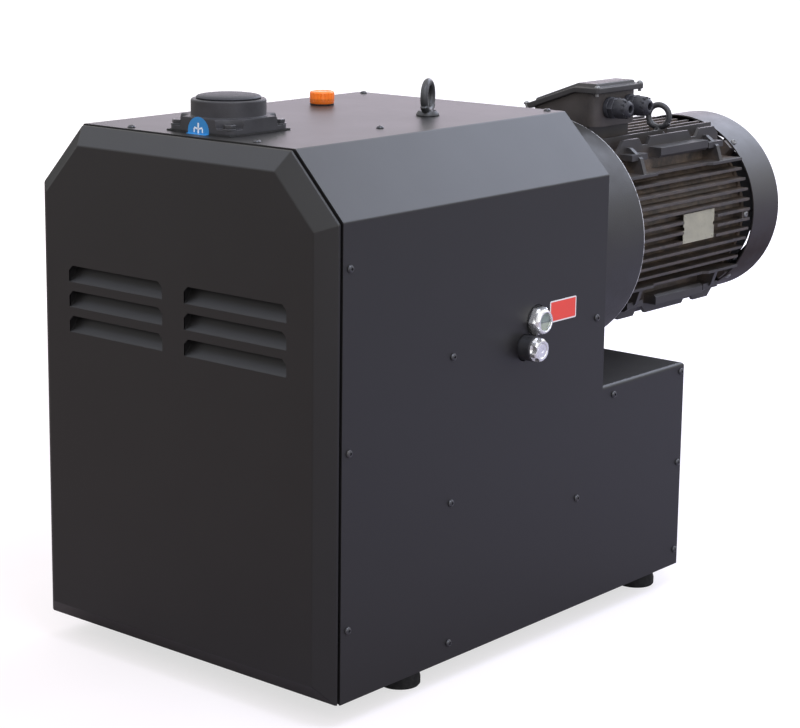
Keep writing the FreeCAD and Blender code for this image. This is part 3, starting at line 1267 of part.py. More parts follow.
def sight_glass():
    x0, x1 = BOSS_END_X, HALF + GLASS_OUT
    hexa = aimed(hexagon(GLASS_HEX, x1 - x0 - 2, 30), (x0 + 1, GLASS_Y, GLASS_Z), AX)
    collar = along_x([(0, x0), (18, x0), (18, x0 + 3), (15.5, x0 + 3), (15.5, x1), (0, x1)],
                     GLASS_Y, GLASS_Z)
    thread = rod((x0 - 12, GLASS_Y, GLASS_Z), AX, GLASS_LENS_R, 13)
    cone = along_x([(0, x0), (18.5, x0), (GLASS_HEX / 2 + 2.7, x1 - 4), (15.5, x1), (0, x1)],
                   GLASS_Y, GLASS_Z)
    body = join([hexa.common(cone), collar, thread])
    bore = rod((x0 - 20, GLASS_Y, GLASS_Z), AX, GLASS_LENS_R - 2.5, 80)
    seat = rod((x1 - 6, GLASS_Y, GLASS_Z), AX, GLASS_LENS_R, 20)
    return body.cut([bore, seat])


def sight_lens():
    x1 = HALF + GLASS_OUT
    return rod((x1 - 6, GLASS_Y, GLASS_Z), AX, GLASS_LENS_R, 5.2)


def drain_extension():
    x0, x1 = BOSS_END_X, HALF + DRAIN_OUT
    body = along_x([
        (0, x0), (DRAIN_R, x0), (DRAIN_R, x1 - 1), (DRAIN_R - 1, x1), (0, x1),
    ], DRAIN_Y, DRAIN_Z)
    thread = rod((x0 - 12, DRAIN_Y, DRAIN_Z), AX, 8, 13)
    return join([body, thread]).cut(rod((x0 - 20, DRAIN_Y, DRAIN_Z), AX, 5.5, 80))


def drain_plug():
    x0, x1 = HALF + DRAIN_OUT, HALF + DRAIN_OUT + DRAIN_PLUG_OUT
    head = along_x([(0, x0), (DRAIN_PLUG_R, x0), (DRAIN_PLUG_R, x1 - 2), (DRAIN_PLUG_R - 2.5, x1),
                    (0, x1)],
                   DRAIN_Y, DRAIN_Z)
    flutes = []
    for k in range(6):
        a = math.radians(60 * k + 20)
        r = DRAIN_PLUG_R + 3.2
        flutes.append(rod((x0 - 1, DRAIN_Y + r * math.cos(a), DRAIN_Z + r * math.sin(a)), AX, 5.5, 30))
    return join([head.cut(flutes), rod((x0 - 12, DRAIN_Y, DRAIN_Z), AX, 5.5, 13)])


def service_labels():
    plate = box(HALF, HALF + LABEL_THICK, LABEL_Y0, LABEL_Y0 + LABEL_LENGTH, LABEL_Z0,
                LABEL_Z0 + LABEL_HEIGHT)
    face_y = INLET_Y - INLET_HALF
    upright = rod((FLOW_LABEL_X, face_y - LABEL_THICK, TOP_Z), AY, FLOW_LABEL_R, LABEL_THICK)
    flat = rod((FLOW_LABEL_X, face_y, TOP_Z), AZ, FLOW_LABEL_R, LABEL_THICK)
    keep = box(-HALF, HALF, 0, face_y, TOP_Z, TOP_Z + INLET_BLOCK_TOP)
    return [plate, join([upright, flat]).common(keep)]


def lifting_eye():
    eye = eye_bolt(EYE_RING_R, EYE_BAR_R, EYE_COLLAR_R, EYE_COLLAR_H, EYE_CENTRE_H, EYE_SHANK_R,
                   SHEET + 20, 10)
    return eye.translated(V(EYE_X, EYE_Y, TOP_Z))


def exhaust_pipe():
    """Down from the front plate and round to the silencer."""
    bend = 50.0
    z = SILENCER_Z
    path = Part.Wire([
        Part.makeLine(V(EXHAUST_X, PORT_Y, STAND_TOP_Z), V(EXHAUST_X, PORT_Y, z + bend)),
        Part.Arc(V(EXHAUST_X, PORT_Y, z + bend),
                 V(EXHAUST_X, PORT_Y + bend * (1 - math.cos(math.pi / 4)),
                   z + bend * (1 - math.sin(math.pi / 4))),
                 V(EXHAUST_X, PORT_Y + bend, z)).toShape(),
        Part.makeLine(V(EXHAUST_X, PORT_Y + bend, z), V(EXHAUST_X, SILENCER_Y0, z)),
    ])
    start = V(EXHAUST_X, PORT_Y, STAND_TOP_Z)

    def swept(r):
        return path.makePipeShell([Part.Wire(Part.makeCircle(r, start, AZ))], True, False)

    return swept(EXHAUST_R).cut(swept(EXHAUST_R - EXHAUST_WALL))


def silencer():
    y0, y1, w = SILENCER_Y0, SILENCER_Y1, SILENCER_WALL
    r = SILENCER_R
    pipe = OUTLET_PIPE_R
    end = LOWER_REAR_Y - SHEET
    can = turned_y([
        (EXHAUST_R - EXHAUST_WALL, y0), (r - 8, y0), (r, y0 + 8), (r, y1 - 8), (r - 8, y1),
        (pipe + w, y1),
        (pipe + w, end), (pipe, end), (pipe, y1 - w), (r - 8 - w, y1 - w), (r - w, y1 - 8 - w),
        (r - w, y0 + 8 + w), (r - 8 - w, y0 + w), (EXHAUST_R - EXHAUST_WALL, y0 + w),
    ], EXHAUST_X, SILENCER_Z)
    saddles = []
    for y in (y0 + 70, y1 - 90):
        saddle = box(EXHAUST_X - 60, EXHAUST_X + 60, y, y + 30, BASE_TOP_Z, SILENCER_Z - 30)
        saddles.append(saddle.cut(rod((EXHAUST_X, y - 1, SILENCER_Z), AY, r, 32)))
    return [can] + saddles


def outlet_flange():
    y = LOWER_REAR_Y
    body = turned_y([
        (OUTLET_PIPE_R, y - SHEET), (OUTLET_SPIGOT_R, y - SHEET), (OUTLET_SPIGOT_R, y),
        (OUTLET_FLANGE_R, y), (OUTLET_FLANGE_R, y + 7), (OUTLET_SPIGOT_R + 3, y + 7),
        (OUTLET_SPIGOT_R + 3, y + OUTLET_LENGTH), (OUTLET_BORE_R, y + OUTLET_LENGTH),
        (OUTLET_BORE_R, y + 2),
        (OUTLET_PIPE_R, y + 2),
    ], EXHAUST_X, SILENCER_Z)
    return body


def motor_flange():
    y0 = MOTOR_FACE_Y
    spigot_y = y0 - 5
    body = turned_y([
        (MOTOR_SHAFT_R + 0.8, spigot_y), (BELL_SPIGOT_R - 0.05, spigot_y), (BELL_SPIGOT_R - 0.05, y0),
        (MOTOR_FLANGE_R, y0), (MOTOR_FLANGE_R, BELL_END_Y), (SHOULDER_R, BELL_END_Y),
        (SHOULDER_R, FRAME_Y0),
        (STATOR_R, FRAME_Y0), (STATOR_R, FRAME_Y0 + 6), (STATOR_R - 8, FRAME_Y0 + 6),
        (STATOR_R - 8, BELL_END_Y + 6),
        (MOTOR_BEARING_R + 8, BELL_END_Y + 6), (MOTOR_BEARING_R + 8,
                                                MOTOR_BEARING_Y0 + MOTOR_BEARING_WIDTH),
        (MOTOR_BEARING_R, MOTOR_BEARING_Y0 + MOTOR_BEARING_WIDTH), (MOTOR_BEARING_R, MOTOR_BEARING_Y0),
        (MOTOR_SHAFT_R + 0.8, MOTOR_BEARING_Y0),
    ])
    return body.cut([rod((x, spigot_y, z), AY, MOTOR_BOLT_R, 60) for x, z in motor_bolt_places()])


def motor_end_shield():
    y0, y1 = FRAME_Y1, END_SHIELD_Y1
    shield = turned_y([
        (MOTOR_SHAFT_R + 0.8, y1), (SHOULDER_R - 12, y1), (SHOULDER_R, y1 - 6), (SHOULDER_R, y0),
        (STATOR_R, y0),
        (STATOR_R, y0 - 6), (STATOR_R - 8, y0 - 6), (STATOR_R - 8, y1 - 8),
        (MOTOR_BEARING_R + 8, y1 - 8),
        (MOTOR_BEARING_R + 8, MOTOR_BEARING_Y1), (MOTOR_BEARING_R, MOTOR_BEARING_Y1),
        (MOTOR_BEARING_R, MOTOR_BEARING_Y1 + MOTOR_BEARING_WIDTH),
        (MOTOR_SHAFT_R + 0.8, MOTOR_BEARING_Y1 + MOTOR_BEARING_WIDTH),
    ])
    lugs = []
    holes = []
    for x, y, z in cowl_screw_places():
        direction = cowl_direction(x, z)
        low = SHOULDER_R - COWL_R - 6
        lug = aimed(box(-LUG_HALF, LUG_HALF, FRAME_Y1 - y, COWL_LUG_Y1 - y, low, 10), (x, y, z),
                    direction)
        lugs.append(lug.common(rod((0, y0, AXIS_Z), AY, COWL_R - COWL_SHEET, 60)))
        holes.append(rod((x - direction.x * 16, y, z - direction.z * 16), direction, SCREW_SHANK_R, 30))
    return join([shield] + lugs).cut(holes)


def fin_offsets(count, pitch):
    return [(k + 0.5 - count / 2) * pitch for k in range(count)]


def motor_frame():
    y0, y1 = FRAME_Y0, FRAME_Y1
    half = FIN_THICK / 2
    barrel = rod((0, y0, AXIS_Z), AY, FRAME_R, y1 - y0)
    solids = [barrel]
    for d in fin_offsets(FINS_PER_SIDE, FIN_PITCH):
        reach = math.sqrt(FIN_REACH ** 2 - d ** 2)
        solids.append(box(-reach, reach, y0 + 8, y1, AXIS_Z + d - half, AXIS_Z + d + half))
    for d in fin_offsets(TOP_FINS, TOP_FIN_PITCH):
        top = FIN_TOP_REACH
        solids.append(box(d - half, d + half, y0 + 8, y1, AXIS_Z - top, AXIS_Z + top))
    for sx in (-1, 1):
        for sz in (-1, 1):
            solids += frame_corner(sx, sz)
        solids += [box(*sorted((sx * (FRAME_R - 6), sx * (FIN_REACH - 3))), y, y + 18, AXIS_Z - 9,
                       AXIS_Z + 9)
                   for y in (y0 + 8, y1 - 18)]
    inset_x = TBOX_SEAT_INSET
    seat = box(TBOX_X0 + inset_x, TBOX_X1 - inset_x, TBOX_Y0 + 4, TBOX_Y1 - 4,
               AXIS_Z + FRAME_R - 30, TBOX_Z0)
    eye_seat = rod((MOTOR_EYE_X, MOTOR_EYE_Y, AXIS_Z + 60), AZ, 13, MOTOR_EYE_SEAT_Z - AXIS_Z - 60)
    body = join(solids + [seat, eye_seat])
    tools = [rod((0, y0 - 1, AXIS_Z), AY, STATOR_R, y1 - y0 + 2)]
    tools.append(box(*TBOX_OPENING, AXIS_Z + 60, TBOX_Z0 + 1))
    tools.append(rod((MOTOR_EYE_X, MOTOR_EYE_Y, MOTOR_EYE_SEAT_Z - 12), AZ, 4, 40))
    tools.append(rod((MOTOR_EYE_X, MOTOR_EYE_Y, MOTOR_EYE_SEAT_Z), AZ, 13, 40))
    plate_z = AXIS_Z - PLATE_DROP
    tools.append(box(FIN_REACH - 5, FIN_REACH + 5, PLATE_Y0 - 4, PLATE_Y1 + 4,
                     plate_z - PLATE_HEIGHT / 2 - 2, plate_z + PLATE_HEIGHT / 2 + 2))
    for x, y, z in boss_screw_places():
        tools.append(rod((x - math.copysign(12, x), y, z), V(math.copysign(1, x), 0, 0),
                         SCREW_SHANK_R, 20))
    return body.cut(tools)


def frame_corner(sx, sz):
    """The tall notched fin, the wide notched fin and the machined foot pad of one corner."""
    half = FIN_THICK / 2
    y0, y1 = FRAME_Y0 + 8, FRAME_Y1

    def z_span(a, b):
        return sorted((AXIS_Z + sz * a, AXIS_Z + sz * b))

    def x_span(a, b):
        return sorted((sx * a, sx * b))

    top = TALL_FIN_REACH
    low = top - TALL_NOTCH_DEPTH
    tall = [(y0 + 16, 40), (y0 + 16, top - 20), (y0 + 34, top)]
    for place in TALL_NOTCHES:
        notch = FRAME_Y0 + place
        tall += [(notch - 16, top), (notch - 7, low), (notch + 7, low), (notch + 16, top)]
    tall += [(y1 - 26, top), (y1 - 14, low), (y1 - 14, 40)]
    xa, xb = x_span(PAD_IN - 6, PAD_IN - 1)
    solids = [prism_x([(y, AXIS_Z + sz * d) for y, d in tall], xa, xb)]
    reach = NOTCHED_FIN_REACH
    wide = [(y0, 60), (y0, reach), (y0 + 72, reach), (y0 + 80, reach - 7), (y1 - 90, reach - 7),
            (y1 - 82, reach), (y1, reach), (y1, 60)]
    za, zb = z_span(NOTCHED_FIN - half, NOTCHED_FIN + half)
    solids.append(prism_z([(sx * d, y) for y, d in wide], za, zb))
    bar_x = x_span(PAD_IN - 4, PAD_OUT)
    bar = [(PAD_IN - 4, PAD_LOW), (PAD_IN - 4, PAD_HIGH), (PAD_OUT, PAD_HIGH), (PAD_OUT, PAD_LOW + 4),
           (PAD_OUT - 4, PAD_LOW)]
    solids.append(prism_y([(sx * a, AXIS_Z + sz * b) for a, b in bar], PAD_Y0, PAD_Y1))
    rib = [(PAD_IN - 10, NOTCHED_FIN), (PAD_IN - 10, low), (PAD_IN + 4, low),
           (PAD_OUT + 3, PAD_HIGH - 10), (PAD_OUT + 11, NOTCHED_FIN)]
    for y in PAD_RIBS_Y:
        solids.append(prism_y([(sx * a, AXIS_Z + sz * b) for a, b in rib], y, y + PAD_RIB_THICK))
        solids.append(box(*bar_x, y - 16, y + PAD_RIB_THICK + 16, *z_span(PAD_LOW + 2, PAD_HIGH - 4)))
    return solids


def boss_screw_places():
    x = FIN_REACH - 3
    return [(s * x, y, AXIS_Z) for s in (-1, 1) for y in (FRAME_Y0 + 17, FRAME_Y1 - 9)]


def cowl_direction(x, z):
    length = math.hypot(x, z - AXIS_Z)
    return V(x / length, 0, (z - AXIS_Z) / length)


def cowl_screw_places():
    places = []
    for degrees in COWL_SCREW_DEG:
        a = math.radians(degrees)
        places.append((COWL_R * math.cos(a), COWL_SCREW_Y, AXIS_Z + COWL_R * math.sin(a)))
    return places


def motor_screws():
    screws = [button_screw((x, y, z), V(math.copysign(1, x), 0, 0), 10) for x, y,
              z in boss_screw_places()]
    screws += [button_screw((x, y, z), cowl_direction(x, z), 14) for x, y, z in cowl_screw_places()]
    for x, y, z, out in lid_screw_places():
        screws.append(button_screw((x, y, z), out, 12, 4.2, 3.4))
    return screws


def motor_stator():
    core = tube((0, CORE_Y0, AXIS_Z), AY, STATOR_R, ROTOR_R + AIR_GAP, CORE_Y1 - CORE_Y0)
    heads = []
    for y0, y1 in ((CORE_Y0 - 34, CORE_Y0), (CORE_Y1, CORE_Y1 + 34)):
        ring = turned_y([(ROTOR_R + 8, y0 + 4), (ROTOR_R + 12, y0), (STATOR_R - 14, y0),
                         (STATOR_R - 10, y0 + 4),
                         (STATOR_R - 10, y1 - 4 if y1 > CORE_Y1 else y1), (STATOR_R - 14, y1),
                         (ROTOR_R + 12, y1), (ROTOR_R + 8, y1 - 4 if y1 > CORE_Y1 else y1)])
        heads.append(ring)
    return join([core] + heads)


def motor_rotor():
    tip = MOTOR_FACE_Y - MOTOR_SHAFT_TIP
    r = MOTOR_SHAFT_R
    return turned_y([
        (0, tip), (r, tip), (r, CORE_Y0 - 30), (r + 4, CORE_Y0 - 30), (r + 4, CORE_Y0 - 14),
        (ROTOR_R - 6, CORE_Y0 - 14),
        (ROTOR_R - 6, CORE_Y0), (ROTOR_R, CORE_Y0), (ROTOR_R, CORE_Y1), (ROTOR_R - 6, CORE_Y1),
        (ROTOR_R - 6, CORE_Y1 + 14),
        (r + 4, CORE_Y1 + 14), (r + 4, CORE_Y1 + 30), (r, CORE_Y1 + 30), (r, END_SHIELD_Y1 + 1),
        (r - 3, END_SHIELD_Y1 + 1), (r - 3, MOTOR_SHAFT_END), (0, MOTOR_SHAFT_END),
    ])


def motor_fan():
    y0, y1 = COWL_LUG_Y1 + 2, MOTOR_SHAFT_END - 4
    r = MOTOR_SHAFT_R - 3
    hub = tube((0, y0, AXIS_Z), AY, r + 10, r, y1 - y0)
    disc = tube((0, y0 + MOTOR_FAN_DISC, AXIS_Z), AY, MOTOR_FAN_R, r, 3)
    blades = []
    for k in range(8):
        blade = box(r + 6, MOTOR_FAN_R - 1, y0, y1, AXIS_Z - 1.5, AXIS_Z + 1.5)
        blade.rotate(V(0, 0, AXIS_Z), AY, 45.0 * k)
        blades.append(blade)
    return join([hub, disc] + blades)


def fan_cowl():
    y0, y1, w, edge = COWL_Y0, COWL_Y1, COWL_SHEET, COWL_EDGE_R
    outer = rod((0, y0, AXIS_Z), AY, COWL_R, y1 - y0)
    rim = [e for e in outer.Edges if abs(e.CenterOfMass.y - y1) < 0.1 and e.Length > 100]
    outer = outer.makeFillet(edge, rim)
    inner = rod((0, y0 - 1, AXIS_Z), AY, COWL_R - w, y1 - y0 - w + 1)
    rim = [e for e in inner.Edges if abs(e.CenterOfMass.y - (y1 - w)) < 0.1 and e.Length > 100]
    inner = inner.makeFillet(edge - w, rim)
    shell = outer.cut(inner)
    slots = []
    ring_r = COWL_SLOT_R
    while ring_r + COWL_SLOT_WIDTH < COWL_GRILLE_R:
        slots.append(tube((0, y1 - w - 1, AXIS_Z), AY, ring_r + COWL_SLOT_WIDTH, ring_r, w + 2))
        ring_r += COWL_SLOT_STEP
    spokes = []
    for k in range(4):
        spoke = box(-COWL_GRILLE_R, COWL_GRILLE_R, y1 - w - 2, y1 + 2, AXIS_Z - 4, AXIS_Z + 4)
        spoke.rotate(V(0, 0, AXIS_Z), AY, 45.0 * k + 22.5)
        spokes.append(spoke)
    grille = Part.makeCompound(slots).cut(spokes)
    holes = []
    for x, y, z in cowl_screw_places():
        direction = cowl_direction(x, z)
        holes.append(rod((x - direction.x * 40, y, z - direction.z * 40), direction,
                         SCREW_SHANK_R + HOLE_CLEARANCE, 60))
    return shell.cut([grille] + holes)


def motor_eye():
    eye = eye_bolt(MOTOR_EYE_RING_R, MOTOR_EYE_BAR_R, 11, 5, MOTOR_EYE_CENTRE_H, 4, 12, MOTOR_EYE_TURN)
    return eye.translated(V(MOTOR_EYE_X, MOTOR_EYE_Y, MOTOR_EYE_SEAT_Z))


def tbox_outline(grow, top_grow):
    """The terminal box's section across X and Z: flat on the right, sloping down to the left."""
    x0, x1 = TBOX_X0 - grow, TBOX_X1 + grow
    return [(x0, TBOX_Z0), (x1, TBOX_Z0), (x1, TBOX_HIGH_Z + top_grow),
            (TBOX_SLOPE_X, TBOX_HIGH_Z + top_grow),
            (x0, TBOX_LOW_Z + top_grow)]


def upright_fillet(shape, r):
    edges = [e for e in shape.Edges if len(e.Vertexes) == 2
             and abs(e.Vertexes[0].X - e.Vertexes[1].X) < 0.01
             and abs(e.Vertexes[0].Y - e.Vertexes[1].Y) < 0.01]
    return shape.makeFillet(r, edges)


def terminal_box():
    w = TBOX_WALL
    outer = upright_fillet(prism_y(tbox_outline(0, 0), TBOX_Y0, TBOX_Y1), TBOX_CORNER_R)
    inner = box(TBOX_X0 + w, TBOX_X1 - w, TBOX_Y0 + w, TBOX_Y1 - w, TBOX_Z0 + w, TBOX_HIGH_Z + 50)
    inner = upright_fillet(inner, TBOX_CORNER_R - w)
    tools = [inner, box(*TBOX_OPENING, TBOX_Z0 - 1, TBOX_Z0 + w + 1)]
    tools += [rod((TBOX_X1 - w - 8, y, GLAND_Z), AX, GLAND_THREAD_R, w + 10) for y in GLAND_Y]
    return outer.cut(tools)


def lid_slope():
    dx = TBOX_SLOPE_X - TBOX_X0
    dz = TBOX_HIGH_Z - TBOX_LOW_Z
    length = math.hypot(dx, dz)
    return V(-dz / length, 0, dx / length)


def lid_screw_places():
    """Seats of the four lid screws, on the flat side and on the sloping side."""
    high = TBOX_HIGH_Z + LID_THICK
    inset_y = 5.0
    slope = lid_slope()
    share = (TBOX_X0 - 3 - TBOX_SLOPE_X) / (TBOX_X0 - TBOX_SLOPE_X)
    low_z = TBOX_HIGH_Z - (TBOX_HIGH_Z - TBOX_LOW_Z) * share
    places = []
    for y in (TBOX_Y0 - TBOX_RIM + inset_y, TBOX_Y1 + TBOX_RIM - inset_y):
        places.append((TBOX_X1 + 1, y, high, AZ))
        places.append((TBOX_X0 - 3 + slope.x * LID_THICK, y, low_z + slope.z * LID_THICK, slope))
    return places


def terminal_lid():
    rim = TBOX_RIM
    slope = lid_slope()
    low_x = TBOX_X0 - rim
    share = (low_x - TBOX_SLOPE_X) / (TBOX_X0 - TBOX_SLOPE_X)
    low_z = TBOX_HIGH_Z - (TBOX_HIGH_Z - TBOX_LOW_Z) * share
    bend = LID_THICK * math.tan(math.atan2(-slope.x, slope.z) / 2)
    top = TBOX_HIGH_Z + LID_THICK
    plate = prism_y([
        (low_x, low_z), (TBOX_SLOPE_X, TBOX_HIGH_Z), (TBOX_X1 + rim, TBOX_HIGH_Z), (TBOX_X1 + rim, top),
        (TBOX_SLOPE_X - bend, top), (low_x + slope.x * LID_THICK, low_z + slope.z * LID_THICK),
    ], TBOX_Y0 - rim, TBOX_Y1 + rim)
    margin = 9.0
    crown_top = top + LID_CROWN
    crown_low_x = TBOX_X0 + 14
    steep = (TBOX_HIGH_Z - TBOX_LOW_Z) / (TBOX_SLOPE_X - TBOX_X0)
    low_top = TBOX_LOW_Z + (crown_low_x - TBOX_X0) * steep
    crown = prism_y([
        (crown_low_x, low_top + 1), (TBOX_SLOPE_X, TBOX_HIGH_Z + 1), (TBOX_X1 - 4, TBOX_HIGH_Z + 1),
        (TBOX_X1 - 6, crown_top), (TBOX_SLOPE_X - bend, crown_top),
        (crown_low_x - 2, low_top + LID_THICK + LID_CROWN),
    ], TBOX_Y0 - rim + margin, TBOX_Y1 + rim - margin)
    body = join([plate, crown])
    tools = []
    for x, y, z, out in lid_screw_places():
        tools.append(aimed(rod((0, 0, -30), AZ, SCREW_SHANK_R + HOLE_CLEARANCE, 30), (x, y, z), out))
        tools.append(aimed(rod((0, 0, 0), AZ, 7, 30), (x, y, z), out))
    return body.cut(tools)


def cable_glands():
    glands = []
    for y in GLAND_Y:
        x = TBOX_X1
        base = hexagon(GLAND_HEX, 9, 30)
        dome = turned_z([
            (0, 9), (GLAND_HEX / 2 - 1.5, 9), (GLAND_HEX / 2 - 1.5, 12), (GLAND_HEX / 2 - 0.5, 12),
            (GLAND_HEX / 2 - 0.5, 24), (GLAND_HEX / 2 - 3, GLAND_OUT - 6), (9, GLAND_OUT - 1),
            (7, GLAND_OUT), (0, GLAND_OUT),
        ])
        flats = hexagon(GLAND_HEX - 1, GLAND_OUT, 30)
        thread = rod((0, 0, -TBOX_WALL - 6), AZ, GLAND_THREAD_R, TBOX_WALL + 7)
        gland = join([base, dome.common(flats), thread])
        gland = gland.cut(rod((0, 0, -30), AZ, GLAND_HOLE_R, 90))
        glands.append(aimed(gland, (x, y, GLAND_Z), AX))
    return glands


def terminal_block():
    z = TBOX_Z0 + TBOX_WALL
    y0, y1 = TBOX_Y0 + 20, TBOX_Y1 - 20
    x0, x1 = TBOX_X0 + 22, TBOX_X0 + 40
    block = box(x0, x1, y0, y1, z, z + 12)
    studs = []
    for k in range(3):
        y = y0 + 10 + k * (y1 - y0 - 20) / 2
        studs += [rod((x, y, z + 11), AZ, 2.0, 10) for x in (x0 + 5, x1 - 5)]
    return join([block] + studs)


def nameplate():
    z = AXIS_Z - PLATE_DROP
    x = FIN_REACH - 5
    half = PLATE_HEIGHT / 2
    plate = box(x, x + PLATE_THICK, PLATE_Y0, PLATE_Y1, z - half, z + half)
    notches = [rod((x - 1, y, z), AX, 3, 5) for y in (PLATE_Y0, PLATE_Y1)]
    return plate.cut(notches)


NODES = {
    "base_frame": base_frame,
    "pump_stand": pump_stand,
    "side_posts": side_posts,
    "rubber_feet": rubber_feet,
    "front_panel": front_panel,
    "front_seal": front_seal,
    "hood": hood,
    "rear_wall": rear_wall,
    "rear_cover": rear_cover,
    "panel_screws": panel_screws,
    "inlet_gasket": inlet_gasket,
    "inlet_flange": inlet_flange,
    "inlet_bolts": inlet_bolts,
    "inlet_cap": inlet_cap,
    "inlet_pipe": inlet_pipe,
    "valve_disc": valve_disc,
    "valve_spring": valve_spring,
    "oil_filler": oil_filler,
    "oil_cap": oil_cap,
    "sight_glass": sight_glass,
    "sight_lens": sight_lens,
    "drain_extension": drain_extension,
    "drain_plug": drain_plug,
    "service_labels": service_labels,
    "lifting_eye": lifting_eye,
    "pump_housing": pump_housing,
    "front_plate": front_plate,
    "gearbox_housing": gearbox_housing,
    "gearbox_cover": gearbox_cover,
    "drive_shaft": drive_shaft,
    "driven_shaft": driven_shaft,
    "drive_claw": lambda: claw(0, 0.0),
    "driven_claw": lambda: claw(CENTRES, math.pi),
    "drive_gear": lambda: gear(0, 0.0),
    "driven_gear": lambda: gear(CENTRES, math.pi / GEAR_TEETH),
    "shaft_bearings": shaft_bearings,
    "shaft_seals": shaft_seals,
    "housing_bolts": housing_bolts,
    "cooling_fan": cooling_fan,
    "exhaust_pipe": exhaust_pipe,
    "silencer": silencer,
    "outlet_flange": outlet_flange,
    "bell_housing": bell_housing,
    "coupling_hubs": coupling_hubs,
    "coupling_spider": coupling_spider,
    "motor_flange": motor_flange,
    "motor_frame": motor_frame,
    "motor_end_shield": motor_end_shield,
    "motor_stator": motor_stator,
    "motor_rotor": motor_rotor,
    "motor_fan": motor_fan,
    "fan_cowl": fan_cowl,
    "motor_screws": motor_screws,
    "terminal_box": terminal_box,
    "terminal_lid": terminal_lid,
    "cable_glands": cable_glands,
    "terminal_block": terminal_block,
    "motor_eye": motor_eye,
    "nameplate": nameplate,
}

# The part's origin is on the floor, in the middle of the four feet.
TO_ORIGIN = V(0, -(FOOT_FRONT_Y + FOOT_REAR_Y) / 2, 0)


def main():
    os.makedirs("parts", exist_ok=True)
    for name, make in NODES.items():
        made = make()
        solids = made if isinstance(made, list) else [made]
        pieces = [s for piece in solids for s in piece.Solids]
        shape = pieces[0] if len(pieces) == 1 else Part.makeCompound(pieces)
        shape = shape.translated(TO_ORIGIN)
        shape.exportStep("parts/" + name + ".step")
        print(name, len(pieces), shape.isValid(), round(shape.Volume / 1000, 1))


main()
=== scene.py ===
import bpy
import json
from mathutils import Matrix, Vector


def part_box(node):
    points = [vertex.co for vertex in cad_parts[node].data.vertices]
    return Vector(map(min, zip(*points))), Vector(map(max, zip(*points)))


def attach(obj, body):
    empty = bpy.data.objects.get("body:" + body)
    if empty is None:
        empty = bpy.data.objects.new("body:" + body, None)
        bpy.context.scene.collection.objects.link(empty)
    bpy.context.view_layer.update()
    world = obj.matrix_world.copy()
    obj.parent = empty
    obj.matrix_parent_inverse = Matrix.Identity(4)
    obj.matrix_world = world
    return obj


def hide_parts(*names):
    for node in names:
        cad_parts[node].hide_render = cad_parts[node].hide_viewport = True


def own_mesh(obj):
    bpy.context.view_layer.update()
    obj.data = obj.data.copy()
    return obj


bl_info = {
    "name": "Claw Vacuum Pump",
    "version": (1, 0, 0),
    "blender": (4, 5, 0),
    "location": "View3D > Sidebar > Vacuum Pump",
    "description": "Dresses the packed claw vacuum pump with modelled pieces, finishes and a studio stage",
    "category": "Object",
}

import functools
import json
import math

import bmesh
import bpy
from bpy.props import FloatProperty, FloatVectorProperty, IntProperty, PointerProperty
from mathutils import Matrix, Vector

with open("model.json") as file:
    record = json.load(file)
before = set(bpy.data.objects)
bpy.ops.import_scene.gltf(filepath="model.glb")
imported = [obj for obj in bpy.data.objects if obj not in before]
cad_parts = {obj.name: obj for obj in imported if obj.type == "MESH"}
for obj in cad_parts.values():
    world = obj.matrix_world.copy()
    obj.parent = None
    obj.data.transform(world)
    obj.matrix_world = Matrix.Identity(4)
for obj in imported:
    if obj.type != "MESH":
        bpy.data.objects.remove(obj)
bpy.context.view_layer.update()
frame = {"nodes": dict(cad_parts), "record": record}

MM = 0.001
# Distance below which vertices are merged, and below which two places count as the same
MERGE = NEAR = 0.00001
X, Y, Z = Vector((1, 0, 0)), Vector((0, 1, 0)), Vector((0, 0, 1))
# The CAD counts Y from the gap behind the front panel. This is that gap in the row frame.
GAP_HALF = 1.5
GAP_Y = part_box("hood")[0].y - GAP_HALF * MM
MOTOR_AXIS_Z = 475.5


def at(x, y, z):
    """A point of the machine, in millimetres with Y from the front gap, as metres in the row frame."""
    return Vector((x * MM, y * MM + GAP_Y, z * MM))


def length(name, default, description):
    return FloatProperty(name=name, default=default, description=description, subtype="DISTANCE", unit="LENGTH")


def colour(name, default, description):
    return FloatVectorProperty(name=name, default=default, description=description, subtype="COLOR",
                               size=3, min=0.0, max=1.0)


def level(name, default, description):
    return FloatProperty(name=name, default=default, description=description, min=0.0)


class PumpSheetSizes(bpy.types.PropertyGroup):
    sheet: length("Sheet", 0.002, "Thickness of the enclosure's sheet")
    fold: length("Fold radius", 0.0015, "Outer radius of the folds of the front panel")
    trim: length("Trim", 0.0017, "How far the front panel stays inside the hood's outline")
    bevel: length("Bevel width", 0.023, "Width of the front panel's bevelled edge")
    louvre_width: length("Louvre width", 0.166, "Width of one louvre")
    louvre_height: length("Louvre height", 0.021, "Height of one louvre's opening")
    louvre_pitch: length("Louvre pitch", 0.032, "Distance from one louvre to the next below it")
    louvre_gap: length("Louvre gap", 0.037, "Gap between the two columns of louvres")
    louvre_depth: length("Louvre depth", 0.014, "How far a louvre is pressed in")
    louvre_rise: length("Louvre rise", 0.0195, "How far a louvre climbs on its way in")
    louvre_top: length("Louvre top", 0.5035, "Height of the top louvre's upper edge")
    louvre_rows: IntProperty(name="Louvre rows", default=3, description="Louvres in one column")


